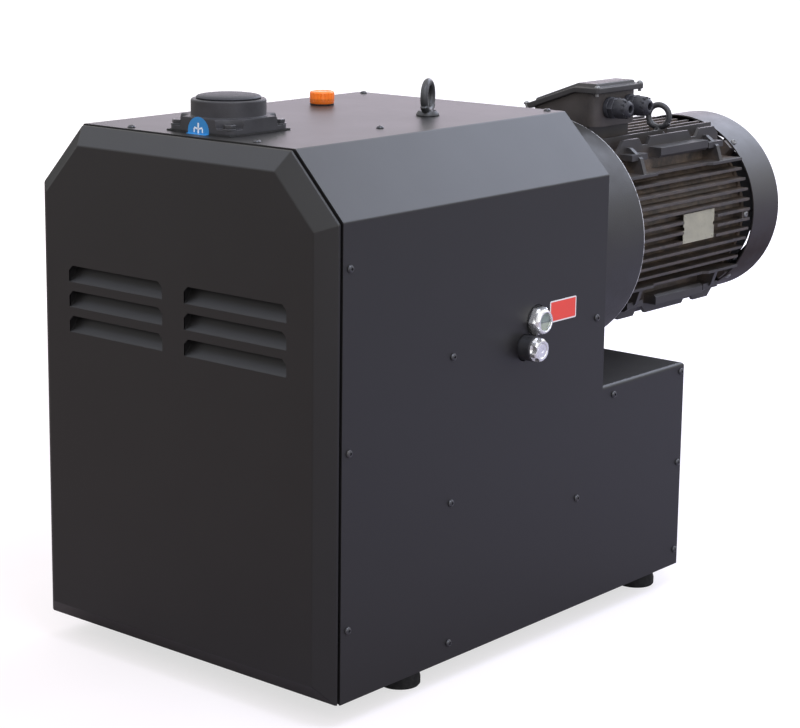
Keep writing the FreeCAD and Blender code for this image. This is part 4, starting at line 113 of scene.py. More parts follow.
class PumpFittingSizes(bpy.types.PropertyGroup):
    flange_half: length("Inlet flange half width", 0.053, "Half of the square inlet flange's side")
    bolt_place: length("Inlet bolt place", 0.043, "Distance of an inlet bolt from the middle lines of the flange")
    bolt_flats: length("Inlet bolt flats", 0.0135, "Width across the flats of an inlet bolt's head")
    cap_rise: length("Cap rise", 0.0062, "How far the transport cap's dome rises over the collar")
    filler_ribs: IntProperty(name="Filler cap grooves", default=20, min=3, description="Grip grooves of the filler cap")
    lid_flange: length("Lid flange", 0.008, "Thickness of the terminal box lid's flange")
    lid_crown: length("Lid crown", 0.005, "Height of the lid's raised middle")
    gland_ribs: IntProperty(name="Gland ribs", default=12, min=3, description="Grip ribs of a cable gland's cap")


class PumpColours(bpy.types.PropertyGroup):
    powder: colour("Powder coat", (0.0052, 0.0046, 0.0050), "Black powder coat of the enclosure")
    motor_paint: colour("Motor paint", (0.029, 0.027, 0.028), "Dark grey paint of the motor")
    cast_paint: colour("Cast paint", (0.022, 0.021, 0.021), "Black paint of the inlet flange and the bell housing")
    dust: colour("Dust", (0.20, 0.145, 0.105), "Brown dust between the motor's fins")
    orange: colour("Filler cap", (1.0, 0.20, 0.010), "Orange plastic of the oil filler cap")
    red: colour("Red label", (0.72, 0.055, 0.035), "Ground of the small label by the sight glass")
    blue: colour("Flow sticker", (0.024, 0.22, 0.52), "Ground of the round sticker at the inlet")
    floor: colour("Floor", (0.31, 0.255, 0.24), "Floor on the near left side")
    floor_away: colour("Floor behind", (0.38, 0.365, 0.46), "Floor on the far right side")


class PumpLight(bpy.types.PropertyGroup):
    overhead: level("Overhead", 0.40, "Radiance of the overhead soft box")
    behind: level("Behind", 4.3, "Radiance of the soft box behind and above")
    left: level("Left", 1.6, "Radiance of the soft box on the left")
    low_behind: level("Low behind", 1.75, "Radiance of the low soft box behind")
    side: level("Side", 0.25, "Radiance of the soft box on the right")
    front: level("Front", 1.8, "Radiance of the soft box by the camera")
    near: level("Near", 8.0, "Radiance of the soft box above the camera")
    room: level("Room", 0.85, "Light from all around")


def only(piece):
    """Makes a piece the only one selected, and the active one."""
    bpy.ops.object.select_all(action="DESELECT")
    piece.select_set(True)
    bpy.context.view_layer.objects.active = piece


def start(name, primitive, stretch=None, **values):
    """Adds a primitive, stretches it and applies its place, so that the new object sits at the origin."""
    bpy.ops.object.select_all(action="DESELECT")
    primitive(**values)
    piece = bpy.context.object
    if stretch:
        piece.scale = stretch
    piece.name = piece.data.name = name
    bpy.ops.object.transform_apply(location=True, rotation=True, scale=True)
    return piece


def start_block(name, middle, stretch):
    return start(name, bpy.ops.mesh.primitive_cube_add, stretch, size=1.0, location=middle)


def edit(piece, kind="FACE"):
    only(piece)
    bpy.ops.object.mode_set(mode="EDIT")
    bpy.ops.mesh.select_mode(type=kind)
    bpy.ops.mesh.select_all(action="DESELECT")


def pick_all():
    bpy.ops.mesh.select_all(action="SELECT")


def edit_all(piece, kind="FACE"):
    edit(piece, kind)
    pick_all()


def pick(parts, test):
    """In edit mode, selects the verts, edges or faces that a test of the part and its middle passes."""
    bpy.ops.mesh.select_all(action="DESELECT")
    piece = bpy.context.edit_object
    mesh = bmesh.from_edit_mesh(piece.data)
    middle = {"verts": lambda v: v.co, "edges": lambda e: (e.verts[0].co + e.verts[1].co) / 2,
              "faces": lambda f: f.calc_center_median()}[parts]
    chosen = [part for part in getattr(mesh, parts) if test(part, middle(part))]
    for part in chosen:
        part.select_set(True)
    bmesh.update_edit_mesh(piece.data)
    if not chosen:
        raise RuntimeError(f"{piece.name}: nothing was picked among its {parts}")


def move(step):
    bpy.ops.transform.translate(value=step)


def turn_by(angle, axis, centre):
    bpy.ops.transform.rotate(value=angle, orient_axis=axis, center_override=centre)


def resize(value, centre):
    bpy.ops.transform.resize(value=value, center_override=centre)


def draw_out(step, faces=False):
    """Extrudes the selected edges, or the selected faces, by a step."""
    extrude = bpy.ops.mesh.extrude_region_move if faces else bpy.ops.mesh.extrude_edges_move
    extrude(TRANSFORM_OT_translate={"value": step})


def bevel_edges(width, segments, **values):
    bpy.ops.mesh.bevel(offset=width, segments=segments, affect="EDGES", **values)


def bevel_picked(piece, test, width, segments):
    edit(piece, "EDGE")
    pick("edges", test)
    bevel_edges(width, segments)
    done()


def outwards():
    """In edit mode, turns all faces outwards."""
    pick_all()
    bpy.ops.mesh.normals_make_consistent(inside=False)


def done():
    bpy.ops.object.mode_set(mode="OBJECT")


def tidy_mesh(piece, smooth=35.0):
    """Merges doubles, turns the faces outwards and smooths all but the sharp edges."""
    edit_all(piece)
    bpy.ops.mesh.remove_doubles(threshold=MERGE)
    outwards()
    done()
    bpy.ops.object.shade_smooth_by_angle(angle=math.radians(smooth))
    return piece


def apply_modifier(piece, kind, **values):
    only(piece)
    modifier = piece.modifiers.new(kind, kind)
    for name, value in values.items():
        setattr(modifier, name, value)
    bpy.ops.object.modifier_apply(modifier=modifier.name)
    return piece


def round_edges(piece, width, segments=2, angle=30.0):
    """Rounds every edge that is sharper than an angle, with a width in millimetres."""
    return apply_modifier(piece, "BEVEL", width=width * MM, segments=segments, limit_method="ANGLE",
                          angle_limit=math.radians(angle), use_clamp_overlap=True)


def settle_order(piece):
    """Sorts the mesh by place, since a boolean leaves its parts in another order on each run."""
    mesh = bmesh.new()
    mesh.from_mesh(piece.data)
    for parts, key in ((mesh.verts, lambda v: v.co[:]), (mesh.edges, lambda e: sorted(v.index for v in e.verts)),
                       (mesh.faces, lambda f: sorted(v.index for v in f.verts))):
        ranks = {part: rank for rank, part in enumerate(sorted(parts, key=key))}
        parts.sort(key=ranks.get)
        parts.index_update()
    mesh.to_mesh(piece.data)
    mesh.free()


def cut(piece, cutter):
    """Takes the cutter's room out of the piece."""
    apply_modifier(piece, "BOOLEAN", operation="DIFFERENCE", object=cutter, solver="EXACT")
    bpy.data.objects.remove(cutter)
    settle_order(piece)


def gather(name, pieces):
    """Joins pieces into one object."""
    bpy.ops.object.select_all(action="DESELECT")
    for piece in pieces:
        piece.select_set(True)
    bpy.context.view_layer.objects.active = pieces[0]
    bpy.ops.object.join()
    joined = bpy.context.object
    joined.name = joined.data.name = name
    return joined


def copy_of(piece, step=None, turn=None, centre=None):
    """A copy with its own mesh, moved by a step or turned as (degrees, axis letter) about a centre."""
    only(piece)
    bpy.ops.object.duplicate(linked=False)
    twin = bpy.context.object
    edit_all(twin)
    if turn:
        turn_by(math.radians(turn[0]), turn[1], centre)
    if step:
        move(step)
    done()
    return twin


def copies_around(name, piece, count, axis, centre, first=0):
    """Copies of a piece all around an axis, joined in its place."""
    copies = [copy_of(piece, turn=(k * 360 / count + first, axis), centre=centre) for k in range(count)]
    bpy.data.objects.remove(piece)
    return gather(name, copies)


def four_corners(piece, name, place):
    """Copies a piece from the corner at plus X and minus Y of the inlet flange to the other three."""
    span = 2 * place
    return gather(name, [piece] + [copy_of(piece, step) for step in ((-span, 0, 0), (0, span, 0), (-span, span, 0))])


def turned(name, profile, centre, axis="Z", segments=64, ring=False):
    """A turned piece: a disc drawn through a profile of radius and height in millimetres, or a closed ring."""
    rotation = {"X": (0, math.pi / 2, 0), "Y": (-math.pi / 2, 0, 0), "Z": (0, 0, 0)}[axis]
    along = {"X": X, "Y": Y, "Z": Z}[axis]
    radius, height = profile[0]
    piece = start(name, bpy.ops.mesh.primitive_circle_add, vertices=segments, radius=radius * MM,
                  fill_type="NOTHING" if ring else "NGON", location=centre + along * height * MM, rotation=rotation)
    edit_all(piece, "EDGE" if ring else "FACE")
    for r, h in profile[1:] + (profile[:1] if ring else []):
        draw_out(along * (h - height) * MM, faces=not ring)
        resize([r / radius if abs(part) < 0.5 else 1.0 for part in along], centre + along * h * MM)
        radius, height = r, h
    done()
    return tidy_mesh(piece)


def finish_piece(piece, slot, node, look=None, smooth=35.0, body="machine"):
    """Tidies a finished piece, gives it its material and its body, and hides the node that it stands for."""
    tidy_mesh(piece, smooth)
    apply_modifier(piece, "WEIGHTED_NORMAL", keep_sharp=True)
    piece.data.materials.clear()
    piece.data.materials.append(finish(look or slot))
    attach(piece, body)
    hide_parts(node)


WHITE = (1.0, 1.0, 1.0)
PALE_DUST, BOX_DUST = (0.20, 0.19, 0.18), (0.15, 0.11, 0.08)
LID_DUST, CAST_DUST = (0.13, 0.105, 0.08), (0.12, 0.11, 0.10)
# The fan cowl's colour for what faces down is painted shade, a dark brown.
CHIPPED, COWL_SHADE, RUBBER_BLOOM = (0.66, 0.66, 0.68), (0.026, 0.017, 0.013), (0.085, 0.083, 0.080)
OIL_LEVEL_Z = 434
LABEL_MIDDLE, LABEL_LONG, LABEL_HIGH, LABEL_FILM, LABEL_CORNER = (250.2, 430.5, 440), 57, 28, 0.4, 2.2
DRAWN_ACROSS, DRAWN_FINE = (1.0, 0.2, 1.0), (1.0, 0.1, 1.0)


class Finish:
    """A material that is being made, or a made one that is changed, with a method for each kind of node."""

    def __init__(self, name="", made=None):
        self.material = made or bpy.data.materials.new(name)
        self.material.use_nodes = True
        self.tree = self.material.node_tree
        self.shader = self.tree.nodes.get("Principled BSDF") or self.tree.nodes["Background"]

    @functools.cached_property
    def place(self):
        return self.node("ShaderNodeTexCoord").outputs["Object"]

    def node(self, kind, **values):
        made = self.tree.nodes.new(kind)
        for name, value in values.items():
            if name in made.inputs:
                self.feed(made.inputs[name], value)
            else:
                setattr(made, name, value)
        return made

    def feed(self, socket, value):
        if isinstance(value, bpy.types.NodeSocket):
            self.tree.links.new(value, socket)
        elif isinstance(value, (tuple, list)) and len(value) == 3 and socket.type == "RGBA":
            socket.default_value = (*value, 1.0)
        else:
            socket.default_value = value

    def feed_all(self, node, *values):
        for socket, value in zip(node.inputs, values):
            self.feed(socket, value)
        return node.outputs[0]

    def set(self, **values):
        names = {"colour": "Base Color", "rough": "Roughness", "metal": "Metallic", "specular": "Specular IOR Level",
                 "normal": "Normal", "glass": "Transmission Weight", "ior": "IOR"}
        for name, value in values.items():
            self.feed(self.shader.inputs[names[name]], value)
        return self.material

    def noise(self, size, detail=3.0, rough=0.55, stretch=None):
        """Noise whose features are about the given size in millimetres."""
        where = self.place
        if stretch:
            where = self.node("ShaderNodeMapping", Vector=where, Scale=stretch).outputs["Vector"]
        made = self.node("ShaderNodeTexNoise", Vector=where, Scale=1000.0 / size, Detail=detail, Roughness=rough)
        return made.outputs["Fac"]

    def span(self, value, low, high, to_low=0.0, to_high=1.0, smooth=False):
        made = self.node("ShaderNodeMapRange", interpolation_type="SMOOTHSTEP" if smooth else "LINEAR")
        return self.feed_all(made, value, low, high, to_low, to_high)

    def vary(self, noise, low, high):
        """A value that goes from low to high with the noise."""
        return self.span(noise, 0.3, 0.7, low, high)

    def maths(self, operation, *values):
        return self.feed_all(self.node("ShaderNodeMath", operation=operation), *values)

    def times(self, *values):
        return functools.reduce(functools.partial(self.maths, "MULTIPLY"), values)

    def less(self, value, other):
        return self.maths("SUBTRACT", value, other)

    def blend(self, share, low, high):
        made = self.node("ShaderNodeMix", data_type="RGBA")
        feeds = {"Factor_Float": share, "A_Color": low, "B_Color": high}
        for socket in made.inputs:
            if socket.identifier in feeds:
                self.feed(socket, feeds[socket.identifier])
        return next(s for s in made.outputs if s.identifier == "Result_Color")

    def tint(self, noise, base, spread, low=0.3, high=0.7):
        """The base colour, darker and lighter by a spread, as the noise goes from low to high."""
        darker, lighter = (tuple(min(1.0, c * share) for c in base) for share in (1 - spread, 1 + spread))
        return self.blend(self.span(noise, low, high), darker, lighter)

    def flecks(self, tone, noise, low, high, share, base, brighter):
        """Flecks of a brighter base colour where the noise goes from low to high."""
        bright = tuple(min(1.0, c * brighter) for c in base)
        return self.blend(self.span(noise, low, high, 0.0, share), tone, bright)

    def bump(self, height, strength, depth, edge=0.0):
        """The normal over a bumped surface whose edges are rounded by a radius in millimetres."""
        made = self.node("ShaderNodeBump", Height=height, Strength=strength, Distance=depth * MM)
        if edge:
            rounded = self.node("ShaderNodeBevel", samples=4, Radius=edge * MM)
            self.feed(made.inputs["Normal"], rounded.outputs["Normal"])
        return made.outputs["Normal"]

    def axis_part(self, letter):
        return self.node("ShaderNodeSeparateXYZ", Vector=self.place).outputs[letter]

    def facing(self, letter="Z"):
        """How far the surface faces along an axis, upwards by default."""
        normal = self.node("ShaderNodeNewGeometry").outputs["Normal"]
        return self.node("ShaderNodeSeparateXYZ", Vector=normal).outputs[letter]

    def axis_radius(self):
        """Distance from the motor's axis."""
        across, height = self.axis_part("X"), self.less(self.axis_part("Z"), MOTOR_AXIS_Z * MM)
        return self.maths("SQRT", self.maths("ADD", self.times(across, across), self.times(height, height)))


def powder_finish(name, base, rough=0.44, specular=0.50):
    """Powder coat: a fine orange peel, a faint mottle and a breath of pale dust on what faces up."""
    f = Finish(name)
    mottle, peel = f.noise(70, 4, 0.6), f.noise(1.6, 2, 0.5)
    tone = f.flecks(f.tint(mottle, base, 0.08, 0.35, 0.65), f.noise(0.9, 1, 0.5), 0.62, 0.72, 0.35, base, 2.2)
    dusty = f.times(f.span(f.facing(), 0.55, 1.0), f.span(f.noise(45, 5, 0.7), 0.42, 0.75, 0.0, 0.035))
    return f.set(colour=f.blend(dusty, tone, PALE_DUST), rough=f.vary(mottle, rough - 0.008, rough + 0.012),
                 specular=specular, normal=f.bump(peel, 0.07, 0.2, 0.6))


def panel_finish(name, base):
    """Powder coat of the front panel, with its specular lowered on the bevel that turns to the left, which is painted
    shade so that the bevel reads dark.
    """
    f = Finish(made=powder_finish(name, base))
    # Painted shade: the specular drops from 0.5 to 0.05 on faces that turn to the left.
    return f.set(specular=f.span(f.facing("X"), -0.45, -0.2, 0.05, 0.5))


def cast_finish(name, base, rough, specular, edge, grain, dust=None, dust_amount=0.0):
    """Painted casting: a grainy skin with soft pits under the paint, and dust where it gathers."""
    f = Finish(name)
    skin, patch = f.noise(grain, 4, 0.62), f.noise(38, 4, 0.65)
    cells = f.node("ShaderNodeTexVoronoi", Vector=f.place, Scale=1000.0 / (grain * 2.2))
    pits = f.span(cells.outputs["Distance"], 0.0, 0.35)
    tone = f.flecks(f.tint(patch, base, 0.22, 0.35, 0.65), skin, 0.58, 0.75, 0.5, base, 1.7)
    if dust:
        settled, spread = f.span(f.facing(), -0.2, 0.95, 0.15, 1.0), f.span(f.noise(26, 5, 0.7), 0.30, 0.72)
        tone = f.blend(f.times(settled, spread, dust_amount), tone, dust)
    return f.set(colour=tone, rough=f.vary(patch, rough - 0.07, rough + 0.10), specular=specular,
                 normal=f.bump(f.maths("ADD", skin, f.times(pits, 0.6)), 0.28, 0.35, edge))


def motor_finish(name, base, dust):
    """Motor paint, with brown dust that lies deep between the fins and thins out towards their tips."""
    f = Finish(name)
    skin, patch = f.noise(2.0, 4, 0.6), f.noise(30, 4, 0.65)
    deep = f.span(f.axis_radius(), 0.116, 0.150, 1.0, 0.0, True)
    spread = f.span(f.noise(24, 5, 0.7), 0.28, 0.62)
    streak = f.vary(f.noise(9, 3, 0.6, stretch=(1.0, 0.25, 1.0)), 0.5, 1.0)
    tone = f.flecks(f.tint(patch, base, 0.20, 0.35, 0.65), skin, 0.60, 0.76, 0.4, base, 1.8)
    return f.set(colour=f.blend(f.times(deep, spread, streak, 0.9), tone, dust), rough=f.vary(patch, 0.40, 0.56),
                 specular=0.45, normal=f.bump(skin, 0.25, 0.30, 0.9))


def metal_finish(name, base, rough, grain=0.6, stretch=(1, 1, 1), spread=0.12, edge=0.4, metal=1.0, stain=None):
    """Bare metal with fine machining marks, uneven gloss and, where given, a stain in patches."""
    f = Finish(name)
    marks, patch = f.noise(grain, 3, 0.6, stretch=stretch), f.noise(14, 4, 0.6)
    tone = f.tint(patch, base, spread)
    if stain:
        tone = f.blend(f.span(f.noise(7, 5, 0.7), 0.55, 0.75, 0.0, 0.6), tone, stain)
    roughness = f.maths("ADD", f.vary(patch, rough * 0.75, rough * 1.25), f.vary(marks, -0.04, 0.05))
    return f.set(colour=tone, rough=roughness, metal=metal, normal=f.bump(marks, 0.06, 0.08, edge))


def plastic_finish(name, base, rough=0.5, specular=0.45, grain=0.8, edge=0.5, spread=0.08):
    """Moulded plastic with a fine leather grain and a slight unevenness."""
    f = Finish(name)
    fine = f.noise(grain, 2, 0.5)
    return f.set(colour=f.tint(f.noise(12, 3, 0.55), base, spread), rough=f.vary(fine, rough - 0.05, rough + 0.06),
                 specular=specular, normal=f.bump(fine, 0.12, 0.15, edge))


def rubber_finish(name, base, rough=0.72):
    """Rubber with a matt, slightly greyed skin and a fine grain."""
    f = Finish(name)
    fine, patch = f.noise(0.7, 2, 0.6), f.noise(11, 4, 0.65)
    tone = f.blend(f.span(patch, 0.48, 0.78, 0.0, 0.35), f.tint(fine, base, 0.2, 0.0, 1.0), RUBBER_BLOOM)
    return f.set(colour=tone, rough=f.vary(patch, rough - 0.08, rough + 0.1), specular=0.25,
                 normal=f.bump(fine, 0.2, 0.2, 0.6))


def orange_finish(name, base):
    """The filler cap's orange plastic, darker at its foot, which is painted shade."""
    f = Finish(name)
    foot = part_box("oil_cap")[0].z + 12.3 * MM
    low, patch = f.span(f.axis_part("Z"), foot + 1 * MM, foot + 3 * MM), f.noise(9, 3, 0.5)
    # Painted shade: the orange is darkened to 0.62 of itself in a band at the cap's foot.
    tone = f.blend(low, tuple(c * 0.62 for c in base), f.tint(patch, base, 0.06))
    return f.set(colour=tone, rough=f.vary(patch, 0.30, 0.40), specular=0.5,
                 normal=f.bump(f.noise(0.7, 2, 0.5), 0.08, 0.12, 0.5))


def bell_finish(name, base):
    """Black paint of the bell housing, chipped to bright metal along the rim where it meets the motor."""
    f = Finish(made=cast_finish(name, base, 0.48, 0.4, 1.0, 2.0))
    rim_wide, rim_deep = 3.2 * MM, 1.2 * MM
    low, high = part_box("bell_housing")
    along = f.span(f.less(f.axis_part("Y"), high.y - rim_wide), 0.0, 0.0005)
    outside = f.span(f.less(f.axis_radius(), (high.x - low.x) / 2 - rim_deep), 0.0, 0.0004)
    chips = f.span(f.noise(6, 4, 0.7), 0.36, 0.50)
    paint = f.shader.inputs["Base Color"].links[0].from_socket
    return f.set(colour=f.blend(f.times(along, outside, chips), paint, CHIPPED))


def cowl_finish(name, base):
    """Paint of the fan cowl: smoother than the casting, with painted shade in a dark brown on what faces down, and less
    specular the further it faces down.
    """
    f = Finish(name)
    patch, fine = f.noise(34, 4, 0.6), f.noise(1.5, 3, 0.55)
    # Painted shade: what faces down is blended towards a dark brown in patches.
    under = f.times(f.span(f.facing(), 0.2, -0.4), f.span(f.noise(18, 4, 0.65), 0.1, 0.5), 0.9)
    tone = f.blend(under, f.tint(patch, base, 0.14, 0.35, 0.65), COWL_SHADE)
    # Painted shade in the gloss: the specular falls from 0.65 on what faces up to 0.06 on what faces down.
    return f.set(colour=f.flecks(tone, fine, 0.64, 0.76, 0.35, base, 2.2), rough=f.vary(patch, 0.42, 0.52),
                 specular=f.span(f.facing(), -0.45, 0.35, 0.06, 0.65), normal=f.bump(fine, 0.14, 0.2, 0.9))


def level_window_finish(name):
    """The glass's reflector: greenish grey above the oil level, pale below it, with a dark line between."""
    f = Finish(name)
    high, cloud = f.less(f.axis_part("Z"), OIL_LEVEL_Z * MM), f.noise(5, 3, 0.6)
    upper = f.blend(f.vary(cloud, 0.0, 1.0), (0.26, 0.32, 0.29), (0.38, 0.43, 0.40))
    lower = f.blend(f.vary(cloud, 0.0, 1.0), (0.52, 0.54, 0.44), (0.66, 0.67, 0.57))
    line = f.span(f.maths("ABSOLUTE", f.maths("ADD", high, 0.8 * MM)), 1.1 * MM, 0.4 * MM)
    tone = f.blend(f.times(line, 0.8), f.blend(f.span(high, -1.2 * MM, 0.0), lower, upper), (0.11, 0.13, 0.12))
    return f.set(colour=tone, rough=0.35, specular=0.5, normal=f.bump(cloud, 0.05, 0.2))


def red_label_finish(name, base):
    """Bare red label with a thin white border, matt film and a faint unevenness."""
    f = Finish(name)
    middle = at(*LABEL_MIDDLE)
    across = f.less(f.maths("ABSOLUTE", f.less(f.axis_part("Y"), middle.y)), LABEL_LONG / 2 * MM)
    up = f.less(f.maths("ABSOLUTE", f.less(f.axis_part("Z"), middle.z)), LABEL_HIGH / 2 * MM)
    border, mottle = f.span(f.maths("MAXIMUM", across, up), -1.8 * MM, -1.5 * MM), f.noise(9, 3, 0.5)
    tone = f.blend(border, f.tint(mottle, base, 0.06, 0.0, 1.0), (0.72, 0.70, 0.69))
    return f.set(colour=tone, rough=f.vary(mottle, 0.34, 0.44), specular=0.5,
                 normal=f.bump(f.noise(0.8, 2, 0.5), 0.04, 0.1))


def lens_finish(name):
    """Clear sight glass, faintly green."""
    f = Finish(name)
    ripple = f.noise(6, 2, 0.5)
    return f.set(colour=f.blend(f.vary(ripple, 0.0, 1.0), (0.90, 0.96, 0.92), (0.97, 1.0, 0.97)), rough=0.03,
                 glass=1.0, ior=1.46, normal=f.bump(ripple, 0.03, 0.2))


def winding_finish(name):
    """Copper winding heads and dark core plates."""
    f = Finish(name)
    wires = f.noise(1.6, 3, 0.6, stretch=(1.0, 0.15, 1.0))
    return f.set(colour=f.blend(f.span(wires, 0.35, 0.65), (0.28, 0.09, 0.035), (0.66, 0.27, 0.10)), rough=0.38,
                 metal=0.85, normal=f.bump(wires, 0.5, 0.5))


@functools.cache
def finishes():
    """One finish for each material slot of the record, and for the pieces that differ from their slot."""
    # After the colour: roughness, specular, edge and grain of a casting, or roughness and grain of a metal,
    # or roughness, specular, grain, edge and spread of a plastic. Edges and grains are in millimetres
    c = bpy.context.scene.pump_colours
    powder, motor, cast = tuple(c.powder), tuple(c.motor_paint), tuple(c.cast_paint)
    made = (
        powder_finish("powder_black", powder),
        panel_finish("panel_black", powder),
        powder_finish("frame_black", (0.014, 0.014, 0.015), 0.40, 0.4),
        cast_finish("flange_black", (0.032, 0.031, 0.035), 0.50, 0.4, 1.6, 1.8),
        cast_finish("box_brown", (0.035, 0.030, 0.029), 0.46, 0.45, 1.0, 1.5, BOX_DUST, 0.3),
        cast_finish("lid_black", (0.030, 0.029, 0.030), 0.46, 0.3, 1.0, 1.5, LID_DUST, 0.25),
        cast_finish("cast_black", cast, 0.50, 0.35, 1.2, 1.8, CAST_DUST, 0.20),
        cast_finish("cast_grey", (0.20, 0.21, 0.22), 0.58, 0.4, 1.5, 2.6),
        cast_finish("forged", (0.030, 0.030, 0.032), 0.42, 0.5, 0.8, 1.6),
        bell_finish("bell_black", cast),
        cowl_finish("cowl_black", motor),
        motor_finish("motor_black", motor, tuple(c.dust)),
        metal_finish("steel", (0.54, 0.55, 0.56), 0.30, 0.5, DRAWN_ACROSS),
        metal_finish("dark_steel", (0.055, 0.055, 0.060), 0.34, 0.7, edge=0.6, metal=0.55, stain=(0.10, 0.085, 0.07)),
        metal_finish("dull_zinc", (0.20, 0.20, 0.20), 0.45, 0.8, metal=0.6, stain=(0.08, 0.07, 0.06)),
        metal_finish("zinc", (0.60, 0.60, 0.57), 0.34, 0.8, stain=(0.36, 0.35, 0.30)),
        metal_finish("chrome", (0.78, 0.775, 0.78), 0.17, 1.2, spread=0.08, edge=0.5, metal=0.78,
                     stain=(0.50, 0.46, 0.42)),
        metal_finish("aluminium", (0.74, 0.75, 0.76), 0.36, 0.5, DRAWN_FINE),
        metal_finish("rating_plate", (0.40, 0.385, 0.29), 0.42, 0.7, DRAWN_ACROSS, metal=0.55,
                     stain=(0.26, 0.25, 0.20)),
        rubber_finish("rubber_black", (0.014, 0.014, 0.015)),
        rubber_finish("gasket", (0.022, 0.022, 0.022), 0.8),
        rubber_finish("elastomer_red", (0.50, 0.045, 0.03), 0.55),
        plastic_finish("plastic_black", (0.028, 0.028, 0.034), 0.54, 0.36),
        plastic_finish("plastic_grey", (0.30, 0.31, 0.32)),
        plastic_finish("fan_plastic", (0.05, 0.05, 0.055)),
        plastic_finish("flow_blue", tuple(c.blue), 0.34, 0.45, 1.5, 0.1, 0.05),
        plastic_finish("flow_white", (0.80, 0.84, 0.88), 0.40, 0.45, 1.5, 0.1, 0.03),
        orange_finish("plastic_orange", tuple(c.orange)),
        red_label_finish("label", tuple(c.red)),
        level_window_finish("level_window"),
        lens_finish("glass"),
        winding_finish("copper"),
    )
    # A name that was taken before has a number after a dot
    return {material.name.split(".")[0]: material for material in made}


def finish(name):
    return finishes()[name]


# Nodes whose finish differs in detail from the other nodes of their slot
NODE_FINISHES = {"bell_housing": "bell_black", "fan_cowl": "cowl_black", "terminal_box": "box_brown",
                 "motor_screws": "dull_zinc"}


class PUMP_OT_dress_frame(bpy.types.Operator):
    """Gives every CAD node the finish of its material slot"""
    bl_idname = "pump.dress_frame"
    bl_label = "Dress the CAD nodes"

    def execute(self, context):
        for part in frame["record"]["subparts"]:
            node = frame["nodes"][part["node"]]
            node.data.materials.clear()
            node.data.materials.append(finish(NODE_FINISHES.get(part["node"], part["material_slot"])))
            only(node)
            bpy.ops.object.shade_smooth_by_angle(angle=math.radians(28))
        bpy.ops.object.select_all(action="DESELECT")
        return {"FINISHED"}


# Shares of a louvre's depth and rise along its curved blade
LOUVRE_CURVE = ((0.30, 0.18), (0.58, 0.40), (0.82, 0.67), (1.0, 1.0))
LOUVRE_SHEET, LOUVRE_INSET, LOUVRE_CORNER = 1.2 * MM, 0.3 * MM, 6.5 * MM
PANEL_LIP, PANEL_FLANGE, SHOULDER_X, SHOULDER_Z = 2 * MM, 18 * MM, 73 * MM, 77 * MM


def louvre_places(s):
    """The middle and the lower edge of each louvre, in metres."""
    return [(side * (s.louvre_gap + s.louvre_width) / 2, s.louvre_top - row * s.louvre_pitch - s.louvre_height)
            for side in (-1, 1) for row in range(s.louvre_rows)]


def louvre_blade(s, face_y):
    """One pressed louvre: a strip drawn inwards and upwards from its lower edge, with a wall at each end."""
    outer_y = face_y + LOUVRE_INSET
    blade = start("blade", bpy.ops.mesh.primitive_plane_add, size=1.0, stretch=(s.louvre_width, MM, 1.0),
                  location=(0, outer_y + MM / 2, 0))
    edit(blade, "EDGE")
    pick("edges", lambda e, m: m.y > outer_y + 0.9 * MM)
    move((0, s.louvre_depth * LOUVRE_CURVE[0][0] - MM, s.louvre_rise * LOUVRE_CURVE[0][1]))
    for before, after in zip(LOUVRE_CURVE, LOUVRE_CURVE[1:]):
        draw_out((0, s.louvre_depth * (after[0] - before[0]), s.louvre_rise * (after[1] - before[1])))
    pick("edges", lambda e, m: abs(m.x) > 0.49 * s.louvre_width)
    draw_out((0, 0, 0))
    resize((1, 1, 0), (0, 0, s.louvre_height))
    pick_all()
    bpy.ops.mesh.remove_doubles(threshold=MERGE)
    bpy.ops.mesh.normals_make_consistent(inside=True)
    done()
    return apply_modifier(blade, "SOLIDIFY", thickness=LOUVRE_SHEET, offset=-1.0)


def louvre_cutter(s, face_y):
    """The opening that a louvre leaves in the panel, with its two upper corners cut off."""
    cutter = start_block("louvre_cutter", (0, face_y, s.louvre_height / 2), (s.louvre_width, 30 * MM, s.louvre_height))
    bevel_picked(cutter, lambda e, m: abs(m.z - s.louvre_height) < NEAR and abs(m.x) > 0.4 * s.louvre_width,
                 LOUVRE_CORNER, 1)
    return cutter


